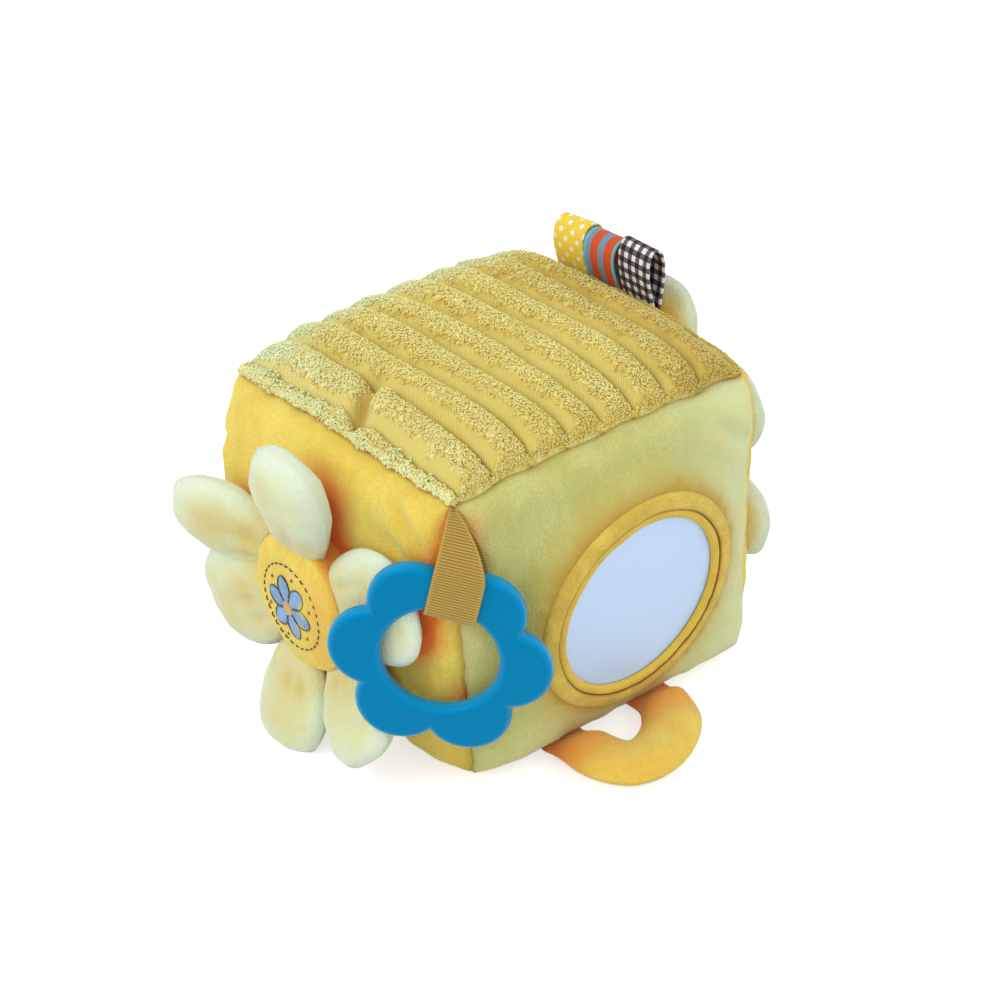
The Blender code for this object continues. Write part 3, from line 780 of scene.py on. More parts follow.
def ranged(tree, value, low, high, to_low=0.0, to_high=1.0):
    """The value's share between two limits, smoothly, as another range."""
    sockets = {"Value": value, "From Min": low, "From Max": high, "To Min": to_low, "To Max": to_high}
    return node(tree, "ShaderNodeMapRange", sockets, interpolation_type="SMOOTHSTEP").outputs["Result"]


def mixed(tree, share, first, second):
    """Two colours mixed. Each is a tuple of three numbers or a socket."""
    colours = [(*value, 1) if isinstance(value, tuple) else value for value in (first, second)]
    made = node(tree, "ShaderNodeMix", {}, data_type="RGBA")
    return fill(tree, made, {0: share, 6: colours[0], 7: colours[1]}).outputs[2]


def own_value(tree, label):
    return node(tree, "ShaderNodeAttribute", {}, attribute_name=label).outputs["Fac"]


def velour(name, colour, painted_shade, pale, sheen, tint, depth=0.5, glow=PLUSH_GLOW):
    """Brushed plush: short nap with a fine grain and upright streaks where it lies over. Its colour
    also takes painted shade, a painted glow and painted light from the piece's values.
    """
    tree = new_material(name)
    grain = noise_value(tree, NAP_GRAIN, 3.0, (1, 1, 0.6))
    streaks = noise_value(tree, NAP_STREAK, 3.0, (1, 1, 0.14))
    patches = noise_value(tree, NAP_PATCH, 2.0, (1, 1, 0.6))
    worn = scaled(colour, (0.93, 0.88, 0.74))
    base = mixed(tree, ranged(tree, patches, 0.30, 0.70), worn, scaled(colour, 1.05))
    base = mixed(tree, ranged(tree, streaks, 0.36, 0.50, 0.22, 0.0), base, scaled(worn, 0.86))
    base = mixed(tree, ranged(tree, grain, 0.36, 0.60, 0.38, 0.0), base, scaled(worn, 0.76))
    # Pale plush where the piece's values ask: the petals' pale fronts, and painted light on the lemon
    # panels. The rim value adds a painted light rim.
    if pale:
        faded = scaled(pale, (0.98, 0.88, 0.66))
        tinted = mixed(tree, ranged(tree, patches, 0.40, 0.62, 0.0, 0.6), pale, faded)
        rim = math_value(tree, "MULTIPLY", own_value(tree, "rim"), 0.85)
        tinted = mixed(tree, rim, tinted, PETAL_RIM_PAINTED_LIGHT)
        base = mixed(tree, own_value(tree, "pale"), base, tinted)
        base = mixed(tree, ranged(tree, grain, 0.36, 0.60, 0.12, 0.0), base, scaled(pale, 0.82))
    # Painted shade, a painted orange glow and more painted shade, from the piece's values
    for label, shade in (("painted_shade", painted_shade), ("painted_glow", PAINTED_GLOW), ("dim", scaled(colour, 0.45))):
        base = mixed(tree, own_value(tree, label), base, shade)
    height = math_value(tree, "ADD", math_value(tree, "MULTIPLY", streaks, 0.4), grain)
    finish_with(tree, base, (height, NAP_RELIEF, 0.9), {
        "Roughness": 0.95,
        "Specular IOR Level": 0.15,
        "Subsurface Weight": depth,
        "Subsurface Radius": glow,
        "Subsurface Scale": 1.0,
        "Sheen Weight": sheen,
        "Sheen Roughness": 0.45,
        "Sheen Tint": (*tint, 1),
    })


def terry_material(name, depth):
    """Looped pile over a woven ground: the loops are modelled, so this gives their colour and yarn,
    painted darker low in the pile as painted shade, with a painted sheen and painted shade from the
    piece's values.
    """
    tree = new_material(name)
    pile = own_value(tree, "pile")
    rib = own_value(tree, "rib")
    place = node(tree, "ShaderNodeTexCoord", {}).outputs["Object"]
    turned = node(tree, "ShaderNodeMapping", {"Vector": place, "Rotation": (0, 0, WEAVE_TURN)})
    scale = 2 * math.pi / 20 / WEAVE_PITCH
    sockets = {"Vector": turned.outputs["Vector"], "Scale": scale, "Distortion": 1.8, "Detail": 2.0}
    weave = node(tree, "ShaderNodeTexWave", sockets, bands_direction="X").outputs["Fac"]
    patches = noise_value(tree, TERRY_PATCH)
    ground = mixed(tree, ranged(tree, weave, 0.2, 0.8), *TERRY_GROUND)
    shade = mixed(tree, ranged(tree, rib, 0.35, 0.6), ground, TERRY_PILE_SHADE)
    tips = mixed(tree, ranged(tree, patches, 0.35, 0.65), *TERRY_TIPS)
    standing = ranged(tree, pile, 0.1, 0.8, 0.15, 1.0)
    painted_sheen = math_value(tree, "MULTIPLY", own_value(tree, "pale"), standing)
    # Darker and more golden low in the pile: painted shade; then a painted sheen and painted shade from
    # the piece's values
    base = mixed(tree, ranged(tree, pile, 0.35, 0.95), shade, tips)
    base = mixed(tree, painted_sheen, base, TERRY_PAINTED_SHEEN)
    base = mixed(tree, own_value(tree, "painted_shade"), base, TERRY_PAINTED_SHADE)
    weave = math_value(tree, "MULTIPLY", weave, ranged(tree, rib, 0.75, 0.35))
    height = math_value(tree, "ADD", weave, noise_value(tree, TERRY_TWIST))
    finish_with(tree, base, (height, 0.0003, 0.35), {
        "Roughness": 0.95,
        "Specular IOR Level": 0.12,
        "Subsurface Weight": depth,
        "Subsurface Radius": TERRY_GLOW,
        "Subsurface Scale": 1.0,
        "Sheen Weight": 0.2,
        "Sheen Tint": (1, 1, 0.75, 1),
    })


def felt_material():
    tree = new_material("golden_felt")
    fibres = noise_value(tree, FELT_FIBRE, 4.0, (1, 1, 1), 0.65)
    base = mixed(tree, ranged(tree, noise_value(tree, FELT_PATCH), 0.35, 0.65), *FELT)
    base = mixed(tree, ranged(tree, fibres, 0.35, 0.55, 0.45, 0.0), base, FELT_WORN)
    base = mixed(tree, own_value(tree, "pale"), base, FELT_PALE)
    base = mixed(tree, own_value(tree, "painted_shade"), base, FELT_PAINTED_SHADE)
    finish_with(tree, base, (fibres, 0.0006, 0.6), {
        "Roughness": 0.95,
        "Specular IOR Level": 0.15,
        "Sheen Weight": 0.3,
        "Sheen Tint": (1, 0.9, 0.5, 1),
    })


def plastic_material():
    tree = new_material("blue_plastic")
    base = mixed(tree, noise_value(tree, 0.02), *BLUE)
    # A painted highlight round the ring's edges
    base = mixed(tree, own_value(tree, "rim"), base, BLUE_PAINTED_HIGHLIGHT)
    finish_with(tree, base, (noise_value(tree, 0.006), 0.0002, 0.25), {
        "Roughness": 0.22,
        "Specular IOR Level": 0.5,
        "Specular Tint": BLUE_SHINE,
    })


def mirror_material():
    """Unbreakable plastic mirror: hazy, with a few upright marks, over a painted reflection of a pale
    blue surround.
    """
    tree = new_material("mirror")
    marks = noise_value(tree, 0.003, 5.0, (1, 1, 0.2), 0.7)
    base = mixed(tree, ranged(tree, marks, 0.58, 0.66, 0.0, 0.10), MIRROR_PAINTED_REFLECTION, MIRROR_MARKS)
    relief = (noise_value(tree, 0.02), 0.0004, 0.08)
    finish_with(tree, base, relief, {"Metallic": 0.08, "Roughness": 0.40})


def ribbon_material():
    """Plain grosgrain: its ribs are modelled, so this gives threads, selvedge and sheen."""
    tree = new_material("golden_ribbon")
    threads = noise_value(tree, RIBBON_GRAIN)
    # Each rib's crest is lighter and the dip between darker: painted light and shade over the modelled
    # ribs
    ribs = ranged(tree, own_value(tree, "rib"), 0.1, 0.9)
    base = mixed(tree, ribs, scaled(RIBBON_GOLD, 0.55), scaled(RIBBON_GOLD, 1.12))
    base = mixed(tree, own_value(tree, "edge"), base, RIBBON_SELVEDGE)
    base = mixed(tree, ranged(tree, threads, 0.3, 0.45, 0.25, 0.0), base, scaled(RIBBON_GOLD, 0.7))
    relief = (threads, THREAD_RELIEF, 0.4)
    finish_with(tree, base, relief, {"Roughness": 0.55, "Sheen Weight": 0.2})


def cloth_place(tree):
    """Two sockets: the place across and along a ribbon, in metres."""
    place = node(tree, "ShaderNodeUVMap", {}, uv_map="cloth").outputs["UV"]
    split = node(tree, "ShaderNodeSeparateXYZ", {"Vector": place})
    return split.outputs["X"], split.outputs["Y"]


def tag_finish(tree, colour):
    """Woven threads over a tag's pattern."""
    threads = noise_value(tree, THREAD_GRAIN)
    base = mixed(tree, ranged(tree, threads, 0.3, 0.5, 0.3, 0.0), colour, BLACK)
    relief = (threads, THREAD_RELIEF, 0.5)
    sockets = {"Roughness": 0.6, "Specular IOR Level": 0.25, "Sheen Weight": 0.05}
    finish_with(tree, base, relief, sockets)


def dotted_material():
    """White dots in staggered rows on yellow satin."""
    tree = new_material("dotted_ribbon")
    rows = []
    for shift in (0.0, DOT_PITCH / 2):
        squares = []
        for place in cloth_place(tree):
            moved = math_value(tree, "ADD", place, shift)
            wrapped = math_value(tree, "PINGPONG", moved, DOT_PITCH / 2)
            squares.append(math_value(tree, "POWER", wrapped, 2.0))
        off = math_value(tree, "SQRT", math_value(tree, "ADD", *squares))
        rows.append(ranged(tree, off, DOT_RADIUS * 1.15, DOT_RADIUS * 0.85))
    dots = math_value(tree, "MAXIMUM", *rows)
    tag_finish(tree, mixed(tree, dots, SATIN, DOT_WHITE))


def striped_material():
    """Orange and blue stripes along the ribbon, with pale blue edges."""
    tree = new_material("striped_ribbon")
    share = math_value(tree, "DIVIDE", cloth_place(tree)[0], TAG_WIDTH)
    ramp = node(tree, "ShaderNodeValToRGB", {"Fac": share})
    ramp.color_ramp.interpolation = "CONSTANT"
    elements = ramp.color_ramp.elements
    elements[0].color = STRIPE_EDGE
    elements[1].position, elements[1].color = 0.92, STRIPE_EDGE
    stripes = ((0.06, STRIPE_ORANGE), (0.33, STRIPE_BLUE), (0.52, STRIPE_ORANGE), (0.78, STRIPE_BLUE))
    for position, colour in stripes:
        elements.new(position).color = colour
    tag_finish(tree, ramp.outputs["Color"])


def gingham_material():
    """Checks of black and white threads."""
    tree = new_material("gingham_ribbon")
    bands = []
    middle = GINGHAM_PITCH / 2
    for place in cloth_place(tree):
        wave = math_value(tree, "PINGPONG", place, GINGHAM_PITCH)
        bands.append(ranged(tree, wave, middle - GINGHAM_EDGE, middle + GINGHAM_EDGE))
    share = math_value(tree, "MULTIPLY", math_value(tree, "ADD", *bands), 0.5)
    ramp = node(tree, "ShaderNodeValToRGB", {"Fac": share})
    elements = ramp.color_ramp.elements
    elements[0].color, elements[1].color = CHECKS[0], CHECKS[2]
    elements.new(0.5).color = CHECKS[1]
    tag_finish(tree, ramp.outputs["Color"])


def thread_material(name):
    tree = new_material(name)
    strands = noise_value(tree, THREAD_GRAIN)
    dark = scaled(THREADS[name], 0.6)
    base = mixed(tree, ranged(tree, strands, 0.35, 0.6), dark, THREADS[name])
    relief = (strands, THREAD_RELIEF, 0.5)
    finish_with(tree, base, relief, {"Roughness": 0.5, "Sheen Weight": 0.3})


def make_finishes():
    velour("golden_velour", GOLD, GOLD_PAINTED_SHADE, None, 0.45, (1, 0.95, 0.5))
    velour("lemon_velour", LEMON, LEMON_PAINTED_SHADE, LEMON_PAINTED_LIGHT, 0.35, (1, 1, 0.85))
    velour("petal_velour", GOLD, PETAL_PAINTED_SHADE, PETAL, 0.6, (0.88, 1, 1), 0.3, PETAL_GLOW)
    terry_material("lemon_terry", 0.5)
    terry_material("lemon_yarn", 0.0)
    felt_material()
    plastic_material()
    mirror_material()
    ribbon_material()
    dotted_material()
    striped_material()
    gingham_material()
    for name in THREADS:
        thread_material(name)


def solid_tree(names):
    """A search tree of the CAD model's own solids with these names."""
    points, faces = [], []
    for name in names:
        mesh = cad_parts[name].data
        first = len(points)
        points += [vert.co.copy() for vert in mesh.vertices]
        faces += [[first + index for index in polygon.vertices] for polygon in mesh.polygons]
    return BVHTree.FromPolygons(points, faces)


def hidden_shares(tree, points, normals):
    """How hidden each point is by a tree's solids, from 0 in the open to 1 in a narrow gap."""
    spread = []
    for ray in range(SHADE_RAYS):
        height = 1 - (ray + 0.5) / SHADE_RAYS
        turn = ray * GOLDEN_ANGLE
        flat = math.sqrt(1 - height**2)
        spread.append(Vector((flat * math.cos(turn), flat * math.sin(turn), height)))
    shares = []
    for point, normal in zip(points, normals):
        start = Vector(point) + Vector(normal) * SHADE_LIFT
        turn = Vector(normal).to_track_quat("Z", "Y")
        hidden = 0.0
        for direction in spread:
            distance = tree.ray_cast(start, turn @ direction, SHADE_REACH)[3]
            if distance is not None:
                hidden += (1 - distance / SHADE_REACH) * (0.4 + 0.6 * direction[2])
        shares.append(hidden / SHADE_RAYS)
    return np.array(shares)


def panel_shade(tree, face, u, v):
    """The shade over a face, worked out on a coarse grid and spread over the fine one."""
    even = np.linspace(-1, 1, SHADE_CELLS + 1)
    cu, cv = np.meshgrid(even, even, indexing="ij")
    points = cover_points(face, cu * SHADE_INSET, cv * SHADE_INSET)
    normals = grid_normals(points)
    normals *= np.sign(normals @ face_out(face))[..., None]
    values = hidden_shares(tree, points.reshape(-1, 3), normals.reshape(-1, 3)).reshape(cu.shape)
    pu, pv = (u + 1) / 2 * SHADE_CELLS, (v + 1) / 2 * SHADE_CELLS
    iu = np.clip(pu.astype(int), 0, SHADE_CELLS - 1)
    iv = np.clip(pv.astype(int), 0, SHADE_CELLS - 1)
    first = mix(values[iu, iv], values[iu + 1, iv], pu - iu)
    second = mix(values[iu, iv + 1], values[iu + 1, iv + 1], pu - iu)
    return mix(first, second, pv - iv)


def panel_looks(face, u, v, shades):
    """Painted shade where pieces lie close and along the seams, painted light, a painted orange glow
    and painted shade low down and by the ring, at each point of a face.
    """
    steady, full = (panel_shade(tree, face, u, v) for tree in shades)
    depth, start = FACE_SHADES.get(face, OTHER_SHADE)
    crease = CREASE_SHADE * np.exp(-((from_seams(face, u, v) / CREASE_WIDTH) ** 2))
    looks = {
        # Painted shade from the pieces that lie close and in the seams' creases; on golden plush it is
        # orange-red, like light bounced there
        "painted_shade": np.clip(mix(steady, full, RING_SHADE_SHARE) * depth - start + crease, 0, 1),
        # Painted light: paler towards +X and towards the bottom
        "pale": 0.95 * smooth_step((u - 0.15) / 0.8) + 0.35 * smooth_step((-v - 0.6) / 0.4),
    }
    # A painted orange glow of bounced light beside the ribbon's top corner
    if face == PAINTED_GLOW_CORNER[0]:
        looks["painted_glow"] = 0.65 * spot(face, u, v, *PAINTED_GLOW_CORNER[1:])
    # Painted shade low on the left face and by the ring
    if face == PAINTED_RING_SHADOW[0]:
        low = 0.30 * smooth_step((-v - 0.45) / 0.45)
        looks["dim"] = low + 0.30 * spot(face, u, v, *PAINTED_RING_SHADOW[1:])
    return looks


def make_cover():
    """The five plush panels, each a plate with a fine outer side and a coarse inner one."""
    solids = [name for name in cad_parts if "panel" not in name and name != "fibre_fill"]
    still = [name for name in solids if name not in ("teether_ring", "corner_ribbon")]
    shades = (solid_tree(still), solid_tree(solids))
    even = np.linspace(-1, 1, PANEL_CELLS + 1)
    share = mix(even, np.sin(even * math.pi / 2), PANEL_GRID_SHARE)
    share[0], share[-1] = -1, 1
    u, v = np.meshgrid(share, share, indexing="ij")
    coarse = (slice(None, None, PANEL_STEP),) * 2
    marks = np.arange(0, PANEL_CELLS + 1, PANEL_STEP)
    for seed, (name, face, finish, node_name) in enumerate(PANELS):
        outer = plush_points(face, u, v, seed * 3)
        inner = cover_points(face, u[coarse], v[coarse], FABRIC) - face_out(face) * FABRIC
        shape = plate(outer, inner, marks, PANEL_STEP)
        looks = panel_looks(face, u, v, shades)
        piece(name, shape, finish, replaces=(node_name,), values=looks)


def tuft_heights(across, along, cover):
    """How high the pile stands over a grid: curled tufts of yarn, packed side by side."""
    random = np.random.default_rng(4)
    columns, rows = cover.shape
    height = np.zeros((columns, rows))
    step_x, step_y = across[1] - across[0], along[1] - along[0]
    places = [np.arange(line[0], line[-1], TUFT_SPACING) for line in (across, along)]
    tuft_x, tuft_y = np.meshgrid(*places, indexing="ij")
    tuft_x = tuft_x.ravel() + random.uniform(-0.5, 0.5, tuft_x.size) * TUFT_SPACING
    tuft_y = tuft_y.ravel() + random.uniform(-0.5, 0.5, tuft_y.size) * TUFT_SPACING
    near_x = np.clip(((tuft_x - across[0]) / step_x).astype(int), 0, columns - 1)
    near_y = np.clip(((tuft_y - along[0]) / step_y).astype(int), 0, rows - 1)
    kept = cover[near_x, near_y] > random.uniform(0.25, 0.75, len(near_x))
    near_x, near_y, tuft_x, tuft_y = near_x[kept], near_y[kept], tuft_x[kept], tuft_y[kept]
    count = len(near_x)
    facing = random.uniform(-math.pi, math.pi, count)
    half_span = random.uniform(0.5, 1.5, count)
    bend = TUFT_BEND * random.uniform(0.7, 1.5, count)
    stand = TUFT_STAND * random.uniform(0, 1, count)
    radius = TUFT_RADIUS * random.uniform(0.8, 1.25, count)
    reach = int((TUFT_BEND * 1.5 + TUFT_RADIUS * 1.3) / min(step_x, step_y)) + 1
    for move_x in range(-reach, reach + 1):
        for move_y in range(-reach, reach + 1):
            i, j = near_x + move_x, near_y + move_y
            inside = (i >= 0) & (i < columns) & (j >= 0) & (j < rows)
            dx = across[0] + i * step_x - tuft_x + bend * np.cos(facing)
            dy = along[0] + j * step_y - tuft_y + bend * np.sin(facing)
            angle = (np.arctan2(dy, dx) - facing + math.pi) % (2 * math.pi) - math.pi
            off_end = np.maximum(np.abs(angle) - half_span, 0) * bend
            off = np.hypot(np.hypot(dx, dy) - bend, off_end) / radius
            rise = stand + radius * TUFT_HEIGHT_SHARE * np.sqrt(np.clip(1 - off**2, 0, 1))
            use = inside & (off < 1)
            np.maximum.at(height, (i[use], j[use]), rise[use])
    return height


def yarn_arcs(feet, ups, random, scale):
    """Points and faces of small loops of yarn that stand on these feet."""
    count = len(feet)
    side = np.cross(ups, random.normal(size=(count, 3)))
    side /= np.linalg.norm(side, axis=1, keepdims=True)
    lean = ups + 0.55 * np.cross(side, ups) * random.uniform(-1, 1, (count, 1))
    lean /= np.linalg.norm(lean, axis=1, keepdims=True)
    scale = scale[:, None, None]
    bend = YARN_BEND * scale * random.uniform(0.65, 1.25, (count, 1, 1))
    angles = np.linspace(-0.25 * math.pi, 1.25 * math.pi, YARN_STEPS)[None, :, None]
    side, lean = side[:, None], lean[:, None]
    line = feet[:, None] + bend * (np.cos(angles) * side + (0.6 + np.sin(angles)) * lean)
    outwards = np.cos(angles) * side + np.sin(angles) * lean
    flat = np.cross(side, lean) + 0 * outwards
    around = np.linspace(0, 2 * math.pi, YARN_SIDES, endpoint=False)[None, None, :, None]
    ends = np.array([0.6, *[1.0] * (YARN_STEPS - 2), 0.6])[None, :, None, None]
    radius = YARN_RADIUS * ends * (0.5 + 0.5 * scale[..., None])
    circle = np.cos(around) * outwards[:, :, None] + np.sin(around) * flat[:, :, None]
    rings = line[:, :, None] + radius * circle
    arc = loft(np.zeros((YARN_STEPS, YARN_SIDES, 3)))[1]
    faces = []
    for first in range(0, count * YARN_STEPS * YARN_SIDES, YARN_STEPS * YARN_SIDES):
        faces += [[first + index for index in face] for face in arc]
    return rings.reshape(-1, 3), faces


def yarn_levels(points, feet):
    """How high each point stands in the pile, which sets its painted shade: from 0 low in the pile to 1
    at its top, from how high each point and its neighbours stand.
    """
    stands = points[:, 2] - np.repeat(feet, YARN_STEPS * YARN_SIDES)
    cells = np.floor(points[:, :2] / PILE_CELL).astype(int)
    cells -= cells.min(axis=0)
    tops = np.zeros(cells.max(axis=0) + 1)
    np.maximum.at(tops, (cells[:, 0], cells[:, 1]), stands)
    return np.clip(1 - (tops[cells[:, 0], cells[:, 1]] - stands) / PILE_DEPTH, 0, 1)


def yarn_piece(name, shape, pile, pale, painted_shade):
    """A piece of standing yarn, with the painted sheen and the painted shade of each of its loops."""
    repeat = YARN_STEPS * YARN_SIDES
    values = {
        "pile": pile,
        "rib": np.ones(len(pile)),
        "pale": np.repeat(pale, repeat),
        "painted_shade": np.repeat(painted_shade, repeat),
    }
    piece(name, shape, "lemon_yarn", values=values)


def rib_place(u, v):
    """Where a point lies across its rib: from -1 at the groove before it, past 0 on the crest, to 1."""
    across = (u + 1) / 2 * TOP_WIDTH - RIB_FIRST
    wander = RIB_WANDER * np.sin(v * 5 + across * 90)
    from_rib = (across + wander + RIB_PITCH / 2) % RIB_PITCH - RIB_PITCH / 2
    return np.clip(from_rib / (RIB_WIDTH / 2), -1, 1)


def terry_looks(u, v, rib, fold):
    """The terry's painted sheen towards its back and left, its painted shade towards its right, and the
    darker of that shade and the painted shade in its grooves and fold, at each point.
    """
    pale = 0.95 * smooth_step((v - 0.50) / 0.45)
    pale += 0.5 * smooth_step((-u - 0.55) / 0.4) * mix(0.3, 1, smooth_step((v + 0.4) / 0.9))
    dim = 0.36 * smooth_step((u - 0.30) / 0.4) * smooth_step((0.8 - v) / 0.6)
    grooves = (1 - smooth_step(rib / 0.30)) * mix(0.35, 1, smooth_step((-v - 0.2) / 0.7))
    grooves = np.maximum(grooves, np.clip(fold / 0.008, 0, 1))
    return np.clip(pale, 0, 0.92), dim, np.maximum(grooves * 0.72, dim)


def make_terry():
    """The terry top: a piece for each rib and the half grooves beside it, and one for its yarn."""
    columns = round(TOP_WIDTH / TERRY_SPACING)
    rows = round(TOP_DEPTH / TERRY_SPACING / TERRY_STEP) * TERRY_STEP
    even = [np.linspace(-1, 1, count + 1) for count in (columns, rows)]
    u, v = np.meshgrid(*even, indexing="ij")
    base = cover_points("top", u, v, -COVER_STAND)
    fold = fold_depth("top", u, v)
    place = rib_place(u, v)
    rib = (1 - place**2) ** RIB_ROUND_POWER
    ragged = 0.30 * lumps(base, 0.006, 34)
    start = mix(1.02, 0.74, smooth_step((0.5 - v) / 1.1))
    cover = smooth_step((place + start + ragged) / 0.55)
    cover = np.maximum(cover, smooth_step((np.abs(v) - 0.93 + 0.1 * ragged) / 0.05))
    cover *= 1 - 0.8 * np.clip(fold / 0.005, 0, 1)
    ends = (1 - np.abs(v) ** RIB_END_POWER) * (1 - np.abs(u) ** RIB_SIDE_POWER)
    ends *= 1 - 0.75 * smooth_step((u - 0.68) / 0.30)
    ends *= 1 - 0.60 * smooth_step((v - 0.60) / 0.38)
    uneven = 1 + 0.25 * lumps(base * (1.0, 0.5, 1.0), 0.016, 31)
    tufts = tuft_heights(u[:, 0] * TOP_WIDTH / 2, v[0] * TOP_DEPTH / 2, cover)
    tufts = tufts * mix(0.35, 1, cover)
    stand = tufts * (0.65 + 0.35 * ends)
    points = base + seam_roll("top", u, v) + seam_wander("top", u, v)
    points[..., 2] += RIB_HEIGHT * rib * uneven * ends + stand + 0.0007 * lumps(base, 0.02, 33) - fold
    pile = tufts / (TUFT_STAND + TUFT_RADIUS * 2)
    smooth = points.copy()
    smooth[..., 2] -= stand
    ups = grid_normals(smooth)
    ups *= np.sign(ups[..., 2:])
    pale, dim, painted_shade = terry_looks(u, v, rib, fold)
    random = np.random.default_rng(9)
    grooves = np.arange(RIB_FIRST + RIB_PITCH / 2, TOP_WIDTH - RIB_PITCH, RIB_PITCH)
    borders = [0, *np.round(grooves / TOP_WIDTH * columns).astype(int), columns]
    for number, (first, last) in enumerate(zip(borders, borders[1:]), 1):
        part = slice(first, last + 1)
        marks = np.unique(np.append(np.arange(0, last - first, TERRY_STEP), last - first))
        inner_u, inner_v = (share[part][marks][:, ::TERRY_STEP] for share in (u, v))
        inner = cover_points("top", inner_u, inner_v, FABRIC) - (0, 0, FABRIC)
        looks = {"pile": pile[part], "rib": cover[part], "pale": pale[part], "painted_shade": painted_shade[part]}
        made = piece(
            f"terry_rib_{number}",
            plate(points[part], inner, marks, TERRY_STEP),
            "lemon_terry",
            replaces=("top_terry_panel", "fibre_fill") if number == 1 else (),
            values=looks,
        )
        spots = np.argwhere(cover[part] > random.uniform(0.35, 0.75, cover[part].shape))
        wanted = int(YARN_SHARE * len(spots) * (TERRY_SPACING / TUFT_SPACING) ** 2)
        steep = 1 / np.clip(ups[part][tuple(spots.T)][:, 2], 0.25, 1)
        spots = spots[random.choice(len(spots), wanted, replace=False, p=steep / steep.sum())]
        at = (spots[:, 0] + first, spots[:, 1])
        shape = yarn_arcs(points[at], ups[at], random, mix(0.5, 1, cover[at]))
        levels = yarn_levels(shape[0], smooth[at][:, 2])
        yarn_piece(f"terry_loops_{number}", shape, levels, pale[at], dim[at])
    make_terry_edge(random)


def make_terry_edge(random):
    """Clumps of longer yarn along the terry's seam with the first flower's side."""
    along = np.sort(random.uniform(-0.97, 0.99, EDGE_YARNS))
    line = np.stack((0 * along, along * TOP_DEPTH / 2, 0 * along), axis=-1)
    clump = np.clip(0.5 + 1.1 * lumps(line, 0.0045, 35), 0, 1)
    up_edge = np.abs(random.normal(0, 1, EDGE_YARNS)) * mix(0.012, 0.034, clump)
    u = -1 + np.minimum(up_edge, EDGE_YARN_REACH)
    feet = cover_points("top", u, along, -COVER_STAND) + seam_roll("top", u, along)
    feet += seam_wander("top", u, along)
    feet[:, 2] += random.uniform(0.0002, 0.0006, EDGE_YARNS) + 0.0010 * clump
    feet[:, 0] -= random.uniform(0, 1, EDGE_YARNS) * mix(0.0002, 0.0022, clump)
    ups = np.array(EDGE_YARN_WAY) + 0.25 * random.normal(size=(EDGE_YARNS, 3))
    ups /= np.linalg.norm(ups, axis=1, keepdims=True)
    sizes = EDGE_YARN_SCALE * random.uniform(0.75, 1.35, EDGE_YARNS)
    shape = yarn_arcs(feet, ups, random, sizes)
    # The edge loops get little painted shade low in the pile, and an even painted sheen
    levels = mix(0.55, 1, yarn_levels(shape[0], feet[:, 2]))
    yarn_piece("terry_edge_loops", shape, levels, np.full(EDGE_YARNS, 0.40), np.zeros(EDGE_YARNS))


def frame_profile():
    """The mirror ring's section: rows of radius, height, how much painted shade and how pale."""
    inner = MIRROR_VIEW_RADIUS
    groove = inner + FRAME_LIP_WIDTH
    outer = inner + FRAME_WIDTH
    rows = []
    for step in range(LIP_STEPS + 1):
        turn = math.pi * step / LIP_STEPS
        height = FRAME_SEAT + (MIRROR_LIP - FRAME_SEAT / 2) * math.sin(turn) ** 0.7
        radius = mix(inner, groove, (1 - math.cos(turn)) / 2)
        rows.append((radius, height, {7: 0.35, 8: 0.8}.get(step, 0.0), 0.8 if step < 3 else 0.3))
    rows.append((groove + 0.0001, 0.0001, 1.0, 0.0))
    for step in range(1, ROLL_STEPS + 1):
        turn = math.pi * step / ROLL_STEPS
        height = MIRROR_LIP * (1 - step / ROLL_STEPS) + FRAME_ROLL * 0.5 * math.sin(turn) ** 0.75
        radius = mix(groove, outer, (1 - math.cos(turn)) / 2)
        shade = {1: 0.80, 2: 0.50, 3: 0.25, 4: 0.10}.get(step, 0.0)
        rows.append((radius, height - FRAME_SEAT, shade, 0.0))
    return [
        *rows,
        (outer, -FRAME_SKIRT / 2, 0.2, 0.0),
        (mix(outer, groove, 0.1), -FRAME_SKIRT, 0.6, 0.0),
        (groove, -FRAME_SKIRT, 1.0, 0.0),
        (groove, 0.0, 1.0, 0.0),
        (inner, 0.00025, 1.0, 0.0),
    ]


def make_mirror():
    """A padded felt ring with a stitched groove and a narrow lip over the mirror's edge."""
    rows = frame_profile()
    rings = turn_rings([row[:2] for row in rows], FRAME_AROUND)
    relief = lumps(rings, 0.009, 51) * 0.00035 + lumps(rings, 0.003, 52) * 0.00025
    groove = LIP_STEPS + 1
    padded = slice(1, groove + ROLL_STEPS + 1)
    rings[padded, :, 2] += relief[padded]
    rings[groove : groove + 2, :, 2] += FRAME_STITCH * np.cos(np.arange(FRAME_AROUND) * math.pi)
    stray = 1 + 0.007 * lumps(rings[groove : groove + 1], 0.011, 53)
    rings[groove - 2 : groove + 3, :, :2] *= stray[..., None]
    values = {
        "painted_shade": np.repeat([row[2] for row in rows], FRAME_AROUND),
        "pale": np.repeat([row[3] for row in rows], FRAME_AROUND),
    }
    shape = loft(moved_by(mirror_matrix(), rings), joined=True)
    replaces = ("mirror_frame", "mirror_backing")
    piece("mirror_ring", shape, "golden_felt", replaces=replaces, values=values)
    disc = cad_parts["mirror_disc"]
    disc.data.materials.clear()
    disc.data.materials.append(FINISHES["mirror"])


def flower_place(side):
    """The middle of a flower on the block's face at -X or +X."""
    face = "left" if side < 0 else "right"
    middle = cover_points(face, np.zeros(1), np.zeros(1))[0]
    return Vector((float(middle[0]), FLOWER_Y, FLOWER_Z))


